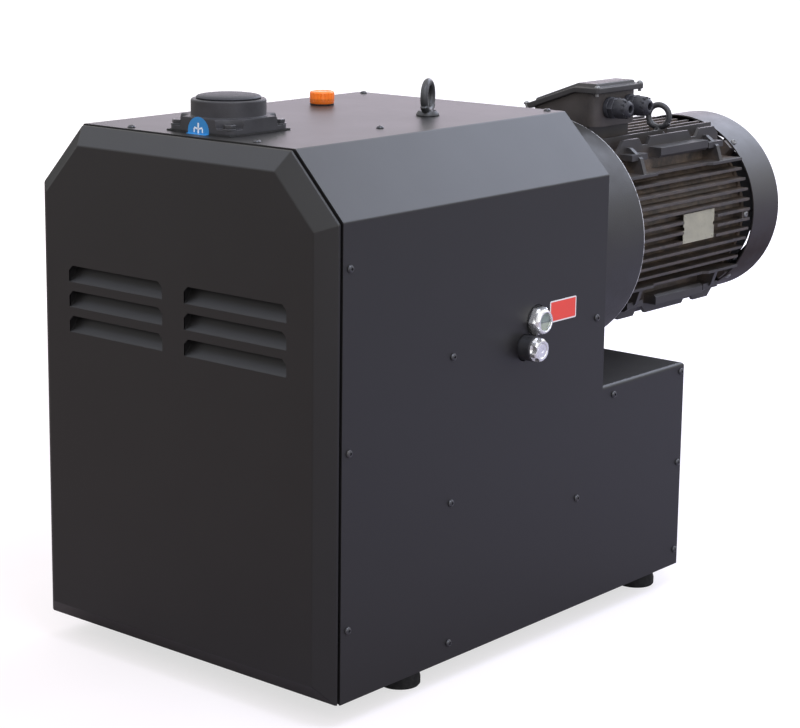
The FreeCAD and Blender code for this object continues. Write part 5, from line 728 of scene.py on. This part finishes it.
class PUMP_OT_front_panel(bpy.types.Operator):
    """Models the louvred front panel: a folded sheet with bevelled edges and pressed louvres"""
    bl_idname = "pump.front_panel"
    bl_label = "Front panel"

    def execute(self, context):
        s = context.scene.pump_sheet
        low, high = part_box("front_panel")
        high -= Vector((s.trim, 0, s.trim))
        low.x = -high.x
        face_y, back_y, middle_z = low.y, GAP_Y - GAP_HALF * MM, (low.z + high.z) / 2
        panel = start("louvred_panel", bpy.ops.mesh.primitive_plane_add, size=1.0, rotation=(math.pi / 2, 0, 0),
                      stretch=(high.x - low.x, high.z - low.z, 1.0), location=(0, back_y, middle_z))
        edit(panel)
        for side in (-1, 1):
            pick_all()
            bpy.ops.mesh.bisect(plane_co=(side * high.x, back_y, high.z - SHOULDER_Z),
                                plane_no=(side * SHOULDER_Z, 0, SHOULDER_X), clear_outer=True)
        outwards()
        draw_out((0, -PANEL_LIP, 0), faces=True)
        bpy.ops.mesh.inset(thickness=s.bevel, depth=0.0)
        move((0, face_y - (back_y - PANEL_LIP), 0))
        pick("faces", lambda f, m: abs(m.y - back_y) < NEAR)
        bpy.ops.mesh.delete(type="ONLY_FACE")
        bpy.ops.mesh.select_mode(type="EDGE")
        pick("edges", lambda e, m: m.y < back_y - PANEL_LIP * 0.4)
        bevel_edges(s.fold, 2, clamp_overlap=True)
        pick("edges", lambda e, m: e.is_boundary)
        draw_out((0, 0, 0))
        resize((1 - PANEL_FLANGE / high.x, 1, 1 - 2 * PANEL_FLANGE / (high.z - low.z)), (0, back_y, middle_z))
        outwards()
        done()
        apply_modifier(panel, "SOLIDIFY", thickness=s.sheet, offset=-1.0)
        tidy_mesh(panel)
        blade, cutter = louvre_blade(s, face_y), louvre_cutter(s, face_y)
        steps = [(middle, 0, lower) for middle, lower in louvre_places(s)]
        blades, cutters = ([copy_of(piece, step) for step in steps] for piece in (blade, cutter))
        cut(panel, gather("louvre_cutters", cutters))
        panel = gather("louvred_panel", [panel] + blades)
        bpy.data.objects.remove(blade)
        bpy.data.objects.remove(cutter)
        finish_piece(panel, "powder_black", "front_panel", "panel_black", 32)
        return {"FINISHED"}


INLET_Y, FLANGE_CORNER = 76, 13
FLANGE_BOTTOM, BOLT_SEAT, BLOCK_TOP, COLLAR_TOP = 682, 687.5, 699, 719
# Profiles of turned pieces, as radius and height in millimetres
SCOOP = [(20.4, BOLT_SEAT), (21.3, BOLT_SEAT + 0.7), (21.9, BOLT_SEAT + 2.6), (22.3, 695), (23.2, 697.8), (25.5, 700)]
SCOOP_OUT = 8.6
COLLAR = [(38, 684), (46, 684), (46, 716.6), (45.5, 718.1), (44.2, COLLAR_TOP), (39, COLLAR_TOP), (38, 718.2),
          (38, 711), (36, 711), (36, 690), (28, 690), (28, 684)]
WASHER = [(6, BOLT_SEAT), (9.2, BOLT_SEAT), (9.2, 688.7), (8.8, 689.1), (6, 689.1)]
CAP_SKIRT = [(30, 716.2), (34.4, 715.8), (34.6, 711.7), (37.4, 711.5), (37.6, COLLAR_TOP), (38.9, 719.25),
             (39.5, 719.9), (39.7, 720.7), (39.2, 721.5)]
# Radii of the transport cap's dome, each with its share of the dome's rise
CAP_DOME = ((37.9, 0.58), (35.0, 0.71), (29.5, 0.84), (21.5, 0.93), (11.5, 0.985), (1.5, 1.0))


class PUMP_OT_inlet_flange(bpy.types.Operator):
    """Models the cast inlet flange: a square block with four scooped corners and a round collar"""
    bl_idname = "pump.inlet_flange"
    bl_label = "Inlet flange"

    def execute(self, context):
        s = context.scene.pump_fittings
        middle, side, tall = (FLANGE_BOTTOM + BLOCK_TOP) / 2, 2 * s.flange_half, (BLOCK_TOP - FLANGE_BOTTOM) * MM
        block = start_block("inlet_flange_block", at(0, INLET_Y, middle), (side, side, tall))
        bevel_picked(block, lambda e, m: abs(m.z - middle * MM) < NEAR, FLANGE_CORNER * MM, 6)
        corner = s.bolt_place / MM + SCOOP_OUT
        scoop = turned("scoop", SCOOP, at(corner, INLET_Y - corner, 0), segments=96)
        cut(block, four_corners(scoop, "scoops", corner * MM))
        round_edges(block, 1.5, 4, 28)
        collar = turned("inlet_collar", COLLAR, at(0, INLET_Y, 0), segments=96, ring=True)
        finish_piece(gather("inlet_flange_casting", [block, collar]), "cast_black", "inlet_flange", "flange_black", 40)
        return {"FINISHED"}


class PUMP_OT_inlet_bolts(bpy.types.Operator):
    """Models the four hexagon bolts of the inlet flange, each on a washer"""
    bl_idname = "pump.inlet_bolts"
    bl_label = "Inlet bolts"

    def execute(self, context):
        s = context.scene.pump_fittings
        corner, wide = s.bolt_place / MM, s.bolt_flats / MM / math.sqrt(3)
        place = at(corner, INLET_Y - corner, 0)
        washer = turned("washer", WASHER, place, segments=40, ring=True)
        head = turned("head", [(wide - 0.6, 689.1), (wide, 689.5), (wide, 693.1), (wide - 1.1, 693.9),
                               (wide - 3.2, 693.9), (wide - 3.6, 693.6), (1, 693.6)], place, segments=6)
        round_edges(head, 0.35, 2, 20)
        bolts = four_corners(gather("inlet_bolt", [head, washer]), "inlet_bolt_set", s.bolt_place)
        finish_piece(bolts, "dark_steel", "inlet_bolts", smooth=30)
        return {"FINISHED"}


class PUMP_OT_inlet_cap(bpy.types.Operator):
    """Models the domed transport cap with its rounded rim and its skirt in the inlet"""
    bl_idname = "pump.inlet_cap"
    bl_label = "Transport cap"

    def execute(self, context):
        rise = context.scene.pump_fittings.cap_rise / MM
        dome = [(radius, COLLAR_TOP + rise * share) for radius, share in CAP_DOME]
        cap = turned("transport_cap", CAP_SKIRT + dome, at(0, INLET_Y, 0), segments=96)
        finish_piece(cap, "plastic_black", "inlet_cap", smooth=40, body="inlet_cap")
        return {"FINISHED"}


FILLER_PLACE, FILLER_R = (-105, 365, 0), 16.5
FILLER_CAP = [(14.6, 681.6), (15.8, 681.8), (16.2, 682.5), (16.3, 684.2), (FILLER_R, 684.8), (FILLER_R, 695.5),
              (16.2, 696.8), (15.4, 697.8), (14.3, 698.35), (13.1, 698.5), (12.2, 698.4), (11.7, 697.8), (1.5, 697.6)]
FILLER_GROOVE = [(0.9, 685.2), (0.9, 695.1), (0.3, 696.6)]
FILLER_SEAL = [(13.9, 680.3), (15.9, 680.3), (16.3, 680.8), (15.9, 681.5), (13.9, 681.5)]


class PUMP_OT_filler_cap(bpy.types.Operator):
    """Models the orange oil filler cap with its grip grooves and the seal ring under it"""
    bl_idname = "pump.filler_cap"
    bl_label = "Oil filler cap"

    def execute(self, context):
        place = at(*FILLER_PLACE)
        cap = turned("filler_cap", FILLER_CAP, place, segments=120)
        groove = turned("groove", FILLER_GROOVE, place + X * (FILLER_R + 0.25) * MM, segments=10)
        cut(cap, copies_around("grooves", groove, context.scene.pump_fittings.filler_ribs, "Z", place))
        finish_piece(cap, "plastic_orange", "oil_cap", smooth=30, body="oil_cap")
        seal = turned("filler_seal", FILLER_SEAL, place, segments=64, ring=True)
        finish_piece(seal, "rubber_black", "oil_cap", smooth=40, body="oil_cap")
        return {"FINISHED"}


class PUMP_OT_lifting_eyes(bpy.types.Operator):
    """Models the two forged lifting eyes, of the pump and of the motor"""
    bl_idname = "pump.lifting_eyes"
    bl_label = "Lifting eyes"

    def execute(self, context):
        self.eye("lifting_eye_ring", "lifting_eye", at(78, 363, 680), ring_r=18.5, bar_r=5.0, collar_r=15,
                 collar_h=6.5, centre_h=24.5, turn=24)
        self.eye("motor_eye_ring", "motor_eye", at(50, 948, 599.5), ring_r=16.5, bar_r=4.3, collar_r=11,
                 collar_h=5, centre_h=29, turn=-81)
        return {"FINISHED"}

    def eye(self, name, node, foot, ring_r, bar_r, collar_r, collar_h, centre_h, turn):
        """A ring on a collar at its foot, with sizes in millimetres and the turn in degrees."""
        centre = foot + Z * centre_h * MM
        ring = start(name, bpy.ops.mesh.primitive_torus_add, major_radius=ring_r * MM, minor_radius=bar_r * MM,
                     major_segments=64, minor_segments=20, location=centre,
                     rotation=(0, math.pi / 2, math.radians(turn)))
        edit(ring, "VERT")
        pick("verts", lambda v, m: m.z < centre.z - ring_r * 0.62 * MM)
        resize((1.12, 1.12, 1.0), centre - Z * ring_r * MM)
        done()
        join_h = centre_h - ring_r - bar_r * 0.35
        neck = join_h - collar_h
        base = turned(name + "_base", [
            (collar_r - 0.6, 0), (collar_r, 0.6), (collar_r, 1.8), (collar_r * 0.93, collar_h * 0.62),
            (collar_r * 0.80, collar_h), (collar_r * 0.62, collar_h + 0.35 * neck),
            (bar_r * 1.45, collar_h + 0.75 * neck), (bar_r * 1.2, join_h + bar_r * 0.5)], foot)
        finish_piece(gather(name, [ring, base]), "dark_steel", node, "forged", 40)


GLASS_Y, DRAIN_PLACE, GLAND_PLACE = 374, (0, 351, 403), (0, 805, 653)
GLASS_BODY = [(18.0, 236.5), (18.0, 250.4), (19.0, 250.6), (19.6, 251.4), (19.6, 257.0), (18.9, 258.7),
              (17.6, 260.2), (12.2, 260.2), (12.2, 258), (9.5, 258), (9.5, 236.5)]
ROLLED_RING = [(11.6, 257.5), (11.6, 264.1), (12.1, 264.8), (12.8, 265), (13.6, 264.9), (14.4, 264.4),
               (15.3, 263.3), (16.2, 261.8), (16.8, 260.2), (17.0, 258.6), (17.0, 257.5)]
BACK_RING = [(17.6, 249.4), (18.8, 249.4), (19.4, 249.9), (19.4, 250.4), (18.9, 250.8), (17.6, 250.8)]
LEVEL_WINDOW = [(11.6, 258.2), (11.6, 259.6), (11.2, 259.9), (3, 259.9)]
LENS = [(11.4, 260.4), (11.5, 260.7), (11.5, 262.8), (11.1, 263.4), (8.5, 263.9), (4.5, 264.2), (1, 264.3)]


class PUMP_OT_sight_glass(bpy.types.Operator):
    """Models the oil sight glass: a hexagon body, a rolled ring, the level window and the lens"""
    bl_idname = "pump.sight_glass"
    bl_label = "Sight glass"

    def execute(self, context):
        place = at(0, GLASS_Y, OIL_LEVEL_Z)
        body = turned("sight_glass_body", GLASS_BODY, place, "X", 6, ring=True)
        round_edges(body, 0.8, 4, 14)
        rolled = turned("rolled_ring", ROLLED_RING, place, "X", 96, ring=True)
        finish_piece(turned("back_ring", BACK_RING, place, "X", 64, ring=True), "rubber_black", "sight_glass")
        finish_piece(gather("sight_glass_body", [body, rolled]), "chrome", "sight_glass", smooth=24)
        finish_piece(turned("level_window", LEVEL_WINDOW, place, "X", 48), "plastic_grey", "sight_lens", "level_window")
        finish_piece(turned("sight_lens_disc", LENS, place, "X", 64), "glass", "sight_lens")
        return {"FINISHED"}


DRAIN_BOSS = [(15.6, 236), (16, 236.6), (16, 265.4), (15.6, 266.5), (14.8, 267), (8, 267)]
DRAIN_PLUG = [(13.8, 267), (14.9, 267.4), (15, 268.2), (15, 273.6), (14.5, 275.2), (13.3, 276.5), (11.9, 277),
              (10.2, 277), (9.4, 276.4), (9.1, 275.5)]
DRAIN_CORE = [(8.9, 274), (8.9, 275.6), (8.4, 276.1), (3.2, 276.1), (2.9, 275.6), (0.6, 275.6)]
FLUTE, FLUTE_OUT, FLUTES, FIRST_FLUTE = [(9, 268.4), (9, 278)], 21.3, 6, 8


class PUMP_OT_oil_drain(bpy.types.Operator):
    """Models the drain extension and its fluted plug"""
    bl_idname = "pump.oil_drain"
    bl_label = "Oil drain"

    def execute(self, context):
        place = at(*DRAIN_PLACE)
        finish_piece(turned("drain_boss", DRAIN_BOSS, place, "X", 72), "dark_steel", "drain_extension")
        plug = turned("drain_screw", DRAIN_PLUG, place, "X", 96)
        flute = turned("flute", FLUTE, place + Y * FLUTE_OUT * MM, "X", 48)
        cut(plug, copies_around("flutes", flute, FLUTES, "X", place, FIRST_FLUTE))
        round_edges(plug, 0.35, 2, 35)
        core = turned("drain_core", DRAIN_CORE, place, "X", 48)
        finish_piece(gather("drain_screw", [plug, core]), "chrome", "drain_plug", smooth=30)
        return {"FINISHED"}


STICKER_X, STICKER_Z, STICKER_R, STICKER_FILM = 1.0, 683, 17.5, 0.25
# The sticker's foot is folded by some degrees below this height
STICKER_FOLD_Z, STICKER_FOLD = 680.6, 82
STICKER_Y = INLET_Y - 53.15
# The flow mark's bars: place to the right and up, width, height, and turn in degrees
MARK_Z, MARK_FILM = 685.5, 0.12
MARK_BARS = ((0, 1.6, 2.4, 12.6, 0), (-3.6, 1.4, 6.4, 2.0, -14), (3.6, 1.4, 6.4, 2.0, 14),
             (-6.9, -1.2, 2.0, 5.0, 0), (6.9, -1.2, 2.0, 5.0, 0))


class PUMP_OT_labels(bpy.types.Operator):
    """Models the bare red label by the sight glass and the round flow sticker on the inlet flange"""
    bl_idname = "pump.labels"
    bl_label = "Labels"

    def execute(self, context):
        red = start_block("red_label", at(*LABEL_MIDDLE), (LABEL_FILM * MM, LABEL_LONG * MM, LABEL_HIGH * MM))
        bevel_picked(red, lambda e, m: abs(m.x - LABEL_MIDDLE[0] * MM) < NEAR, LABEL_CORNER * MM, 4)
        finish_piece(red, "label", "service_labels")
        self.sticker()
        self.flow_mark()
        return {"FINISHED"}

    def sticker(self):
        disc = start("flow_sticker", bpy.ops.mesh.primitive_circle_add, vertices=64, radius=STICKER_R * MM,
                     fill_type="NGON", location=at(STICKER_X, STICKER_Y, STICKER_Z), rotation=(math.pi / 2, 0, 0))
        fold = at(STICKER_X, STICKER_Y, STICKER_FOLD_Z)
        edit_all(disc)
        bpy.ops.mesh.bisect(plane_co=fold, plane_no=(0, 0, 1))
        pick("verts", lambda v, m: m.z < fold.z - NEAR)
        turn_by(math.radians(STICKER_FOLD), "X", fold)
        done()
        apply_modifier(disc, "SOLIDIFY", thickness=STICKER_FILM * MM, offset=0.0)
        finish_piece(disc, "label", "service_labels", "flow_blue")

    def flow_mark(self):
        bars = []
        for x, z, wide, tall, turn in MARK_BARS:
            middle = at(STICKER_X + x, STICKER_Y - 0.16, MARK_Z + z)
            bar = start_block("bar", middle, (wide * MM, MARK_FILM * MM, tall * MM))
            edit_all(bar)
            turn_by(math.radians(turn), "Y", middle)
            done()
            bars.append(bar)
        finish_piece(gather("flow_mark", bars), "label", "service_labels", "flow_white")


LID_X, LID_BEND_X, LID_Y, LID_Z = (-66, 63), 21, (768, 887), 675
LID_SLOPE = math.atan2(29.5, 81)
LID_RIM, LID_CORNER = 9.5, 5
# The crown: distance from the lid's ends, middle and taper
CROWN_INSET, CROWN_X, CROWN_TAPER = 7, 2, 0.965


class PUMP_OT_terminal_lid(bpy.types.Operator):
    """Models the terminal box lid: a bent flange with a raised crown"""
    bl_idname = "pump.terminal_lid"
    bl_label = "Terminal box lid"

    def execute(self, context):
        s = context.scene.pump_fittings
        thick, middle_y = s.lid_flange / MM, sum(LID_Y) / 2
        lid = start_block("terminal_box_lid", at(sum(LID_X) / 2, middle_y, LID_Z + thick / 2),
                          ((LID_X[1] - LID_X[0]) * MM, (LID_Y[1] - LID_Y[0]) * MM, thick * MM))
        edit_all(lid)
        bpy.ops.mesh.bisect(plane_co=at(LID_BEND_X, 0, 0), plane_no=(1, 0, 0))
        pick("faces", lambda f, m: m.z > (LID_Z + thick) * MM - NEAR)
        bpy.ops.mesh.inset(thickness=LID_RIM * MM, depth=0.0)
        pick("verts", lambda v, m: m.x < (LID_BEND_X - 1) * MM)
        turn_by(LID_SLOPE, "Y", at(LID_BEND_X, 0, LID_Z))
        pick("faces", lambda f, m: f.normal.z > 0.85 and abs(m.y - at(0, middle_y, 0).y) < 10 * NEAR
             and (LID_X[0] + CROWN_INSET) * MM < m.x < (LID_X[1] - CROWN_INSET) * MM)
        draw_out((0, 0, s.lid_crown), faces=True)
        resize((CROWN_TAPER, CROWN_TAPER, 1.0), at(CROWN_X, middle_y, LID_Z))
        bpy.ops.mesh.select_mode(type="EDGE")
        pick("edges", self.upright)
        bevel_edges(LID_CORNER * MM, 4)
        done()
        round_edges(lid, 1.3, 3, 25)
        finish_piece(lid, "motor_black", "terminal_lid", "lid_black", 40)
        return {"FINISHED"}

    @staticmethod
    def upright(edge, middle):
        """Whether an edge stands upright, or nearly so."""
        along = edge.verts[0].co - edge.verts[1].co
        return abs(along.y) < NEAR and abs(along.x) < 4 * MM and abs(along.z) > 6 * MM


GLAND_BASE = [(13, 57), (15.2, 57), (15.6, 57.6), (15.6, 62.8), (15.0, 63.6), (13, 63.6)]
GLAND_BODY = [(13, 62), (16.2, 64.2), (16.7, 65), (16.7, 71.2), (16.0, 72.2), (12, 72.6)]
GLAND_DOME = [(10, 72), (13.6, 72), (14.4, 73), (14.5, 80.5), (13.9, 84.5), (12.6, 88.4), (10.6, 92), (8.8, 94.2),
              (7.4, 95), (6.1, 94.8), (5.2, 93.8), (5.0, 88), (10, 80)]
GLAND_PITCH = 50
# A grip rib: middle along the gland and out from its axis, size, and dip of its outer end
RIB_X, RIB_OUT, RIB_SIZE, RIB_DIP = 81.5, 14.2, (17 * MM, 1.5 * MM, 2 * MM), 3.6


class PUMP_OT_cable_glands(bpy.types.Operator):
    """Models the two cable glands with ribbed caps and open ends"""
    bl_idname = "pump.cable_glands"
    bl_label = "Cable glands"

    def execute(self, context):
        place = at(*GLAND_PLACE)
        base = turned("gland", GLAND_BASE, place, "X", 56, ring=True)
        body = turned("gland_body", GLAND_BODY, place, "X", 6)
        round_edges(body, 0.6, 2, 25)
        dome = turned("gland_dome", GLAND_DOME, place, "X", 96, ring=True)
        rib = start_block("rib", place + (X * RIB_X + Z * RIB_OUT) * MM, RIB_SIZE)
        edit(rib, "EDGE")
        pick("edges", lambda e, m: m.x > (RIB_X + 8) * MM and m.z > place.z + (RIB_OUT + 0.8) * MM)
        move((0, 0, -RIB_DIP * MM))
        done()
        round_edges(rib, 0.5, 2, 30)
        ribs = copies_around("ribs", rib, context.scene.pump_fittings.gland_ribs, "X", place)
        gland = gather("gland", [base, body, dome, ribs])
        pair = gather("cable_gland_pair", [gland, copy_of(gland, (0, GLAND_PITCH * MM, 0))])
        finish_piece(pair, "plastic_black", "cable_glands", smooth=40)
        return {"FINISHED"}


# The rating plate's rivets: profile from the plate's face, and distance from its sides
RIVET = ((1.9, -0.5), (1.9, -0.1), (1.5, 0.3), (0.4, 0.5))
RIVET_IN_Y, RIVET_IN_Z, NOTCH_R = 5 * MM, 4.5 * MM, 3


class PUMP_OT_rating_plate(bpy.types.Operator):
    """Models the bare rating plate on the motor's fins, with its notches, rounded rim and rivets"""
    bl_idname = "pump.rating_plate"
    bl_label = "Rating plate"

    def execute(self, context):
        low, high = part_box("nameplate")
        middle, face = (low + high) / 2, high.x / MM
        plate = start_block("rating_plate", middle, tuple(high - low))
        notches = [turned("notch", [(NOTCH_R, face - 3), (NOTCH_R, face + 3)], Vector((0, y, middle.z)), "X", 32)
                   for y in (low.y, high.y)]
        cut(plate, gather("notches", notches))
        edit(plate)
        pick("faces", lambda f, m: f.normal.x > 0.9)
        bpy.ops.mesh.dissolve_faces()
        done()
        round_edges(plate, 0.35, 2, 40)
        rivets = [turned("rivet", [(radius, face + out) for radius, out in RIVET], Vector((0, y, z)), "X", 20)
                  for y in (low.y + RIVET_IN_Y, high.y - RIVET_IN_Y) for z in (low.z + RIVET_IN_Z, high.z - RIVET_IN_Z)]
        finish_piece(gather("rating_plate", [plate] + rivets), "aluminium", "nameplate", "rating_plate", 40)
        return {"FINISHED"}


SPRING_WIRE_R, SPRING_TURNS, VALVE_TRAVEL = 0.9 * MM, 5, 10 * MM


class PUMP_OT_valve_spring(bpy.types.Operator):
    """Models the spring under the non-return valve's disc at its full length; the real spring shortens as the valve
    opens, but this coil does not.
    """
    bl_idname = "pump.valve_spring"
    bl_label = "Valve spring"

    def execute(self, context):
        low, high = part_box("valve_spring")
        middle, tall = (low + high) / 2, high.z - low.z
        spring = start("valve_spring_coil", bpy.ops.mesh.primitive_circle_add, vertices=16, radius=SPRING_WIRE_R,
                       fill_type="NOTHING", location=((high.x - low.x) / 2 - SPRING_WIRE_R, 0, 0),
                       rotation=(math.pi / 2, 0, 0))
        apply_modifier(spring, "SCREW", screw_offset=(tall - 2 * SPRING_WIRE_R) / SPRING_TURNS,
                       iterations=SPRING_TURNS, steps=48, render_steps=48)
        edit_all(spring, "VERT")
        bpy.ops.mesh.fill_holes(sides=0)
        pick_all()
        move((middle.x, middle.y, low.z + SPRING_WIRE_R))
        done()
        finish_piece(spring, "steel", "valve_spring", body="valve")
        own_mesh(spring)
        return {"FINISHED"}


COOL, ROSE, WARM = (0.72, 0.79, 1.0), (0.95, 0.78, 1.0), (1.0, 0.97, 0.93)
LIT_POINT = Vector((0, 0.16, 0.45))
# The soft boxes: name of the light's level, place from the lit point, width, height and tint
SOFT_BOXES = (("overhead", (-0.3, 0.2, 2.7), 4.2, 3.6, WARM), ("behind", (0.5, 3.4, 2.5), 4.4, 1.8, COOL),
              ("left", (-1.9, -1.86, 2.55), 1.8, 1.8, COOL), ("low_behind", (-2.6, 4.1, 1.1), 4.0, 1.6, ROSE),
              ("front", (2.6, -2.2, 1.2), 2.0, 2.0, WHITE), ("near", (1.2, -0.8, 2.3), 1.1, 1.1, COOL),
              ("side", (3.6, -0.4, 1.2), 2.4, 2.4, COOL))
# The floor's glow for the camera, from near the origin to far away: distances and strengths
GLOW_REACH, GLOW_LEVEL = (0.9, 2.6), (0.66, 0.95)
# The camera: azimuth, elevation and roll in degrees, its place, lens and shift
CAMERA_TURN, CAMERA_PLACE = (42.032, 11.595, 0.199), (1.8334, -2.2504, 1.0026)
CAMERA_LENS, CAMERA_SENSOR, CAMERA_SHIFT = 98.36, 36.0, (0.1224, -0.0711)


class PUMP_OT_stage(bpy.types.Operator):
    """Makes the floor, the soft lights, the white surroundings and the camera"""
    bl_idname = "pump.stage"
    bl_label = "Stage"

    def execute(self, context):
        self.floor(context.scene.pump_colours)
        for row in SOFT_BOXES:
            self.soft_box(*row)
        self.surroundings(context.scene)
        self.camera(context.scene)
        context.scene.view_settings.view_transform = "Standard"
        return {"FINISHED"}

    def floor(self, colours):
        """A pale floor that glows white for the camera further away, and keeps the shadow near by."""
        floor = start("floor", bpy.ops.mesh.primitive_plane_add, size=40.0, location=(0, 0, -0.0002))
        f = Finish("floor")
        f.tree.nodes.remove(f.shader)
        apart = f.maths("ADD", f.times(f.axis_part("X"), 0.67), f.times(f.axis_part("Y"), 0.74))
        tone = f.blend(f.span(apart, -1.4, 1.4, 0.0, 1.0, True), tuple(colours.floor), tuple(colours.floor_away))
        tone = f.blend(f.span(f.noise(400, 3, 0.5), 0.3, 0.7, 0.0, 0.06), tone, WHITE)
        matt = f.node("ShaderNodeBsdfDiffuse", Color=tone).outputs[0]
        reach = f.node("ShaderNodeVectorMath", operation="LENGTH")
        f.feed_all(reach, f.place)
        far = f.span(reach.outputs["Value"], *GLOW_REACH, *GLOW_LEVEL, True)
        glow = f.node("ShaderNodeEmission", Color=WHITE, Strength=far).outputs[0]
        both = f.feed_all(f.node("ShaderNodeAddShader"), matt, glow)
        rays = f.node("ShaderNodeLightPath").outputs
        seen = f.feed_all(f.node("ShaderNodeMixShader"), rays["Is Camera Ray"], matt, both)
        f.feed(f.tree.nodes["Material Output"].inputs["Surface"], seen)
        floor.data.materials.append(f.material)

    def soft_box(self, name, offset, width, height, tint):
        place = LIT_POINT + Vector(offset)
        bpy.ops.object.select_all(action="DESELECT")
        bpy.ops.object.light_add(type="AREA", location=place,
                                 rotation=(LIT_POINT - place).to_track_quat("-Z", "Y").to_euler())
        lamp = bpy.context.object
        lamp.name = name
        lamp.data.shape = "RECTANGLE"
        lamp.data.size, lamp.data.size_y = width, height
        lamp.data.energy = getattr(bpy.context.scene.pump_light, name) * width * height * math.pi
        lamp.data.color = tint

    def surroundings(self, scene):
        """A room that lights the object evenly, and is white for the camera, gloss and glass."""
        scene.world = bpy.data.worlds.new("room")
        f = Finish(made=scene.world)
        rays = f.node("ShaderNodeLightPath").outputs
        seen = f.maths("MAXIMUM", rays["Is Camera Ray"], rays["Is Glossy Ray"])
        seen = f.maths("MAXIMUM", seen, rays["Is Transmission Ray"])
        f.feed(f.shader.inputs["Color"], WHITE)
        f.feed(f.shader.inputs["Strength"], f.span(seen, 0.0, 1.0, scene.pump_light.room, 1.0))

    def camera(self, scene):
        azimuth, elevation, roll = (math.radians(v) for v in CAMERA_TURN)
        turn = (Matrix.Rotation(azimuth, 3, "Z") @ Matrix.Rotation(math.pi / 2 - elevation, 3, "X")
                @ Matrix.Rotation(roll, 3, "Z"))
        bpy.ops.object.select_all(action="DESELECT")
        bpy.ops.object.camera_add(location=CAMERA_PLACE, rotation=turn.to_euler())
        camera = bpy.context.object
        camera.name = "camera"
        camera.data.sensor_width, camera.data.lens = CAMERA_SENSOR, CAMERA_LENS
        camera.data.shift_x, camera.data.shift_y = CAMERA_SHIFT
        camera.data.clip_end = 100.0
        scene.camera = camera


class PUMP_PT_panel(bpy.types.Panel):
    """Sizes, colours and steps of the vacuum pump"""
    bl_idname = "PUMP_PT_panel"
    bl_label = "Vacuum Pump"
    bl_space_type = "VIEW_3D"
    bl_region_type = "UI"
    bl_category = "Vacuum Pump"

    def draw(self, context):
        for name in GROUPS:
            group, box = getattr(context.scene, name), self.layout.box()
            box.label(text=name.removeprefix("pump_").capitalize())
            for value in group.__annotations__:
                box.prop(group, value)
        for step in STEPS:
            self.layout.operator(step.bl_idname)


STEPS = (
    PUMP_OT_dress_frame,
    PUMP_OT_front_panel,
    PUMP_OT_inlet_flange,
    PUMP_OT_inlet_bolts,
    PUMP_OT_inlet_cap,
    PUMP_OT_filler_cap,
    PUMP_OT_lifting_eyes,
    PUMP_OT_sight_glass,
    PUMP_OT_oil_drain,
    PUMP_OT_labels,
    PUMP_OT_terminal_lid,
    PUMP_OT_cable_glands,
    PUMP_OT_rating_plate,
    PUMP_OT_valve_spring,
    PUMP_OT_stage,
)
GROUPS = {"pump_sheet": PumpSheetSizes, "pump_fittings": PumpFittingSizes, "pump_colours": PumpColours,
          "pump_light": PumpLight}


def register():
    for group in GROUPS.values():
        bpy.utils.register_class(group)
    for name, group in GROUPS.items():
        setattr(bpy.types.Scene, name, PointerProperty(type=group))
    for step in STEPS:
        bpy.utils.register_class(step)
    bpy.utils.register_class(PUMP_PT_panel)


def unregister():
    bpy.utils.unregister_class(PUMP_PT_panel)
    for step in reversed(STEPS):
        bpy.utils.unregister_class(step)
    for name in reversed(list(GROUPS)):
        delattr(bpy.types.Scene, name)
        bpy.utils.unregister_class(GROUPS[name])


def main():
    register()
    for step in STEPS:
        group, name = step.bl_idname.split(".")
        getattr(getattr(bpy.ops, group), name)()


if __name__ == "__main__":
    main()
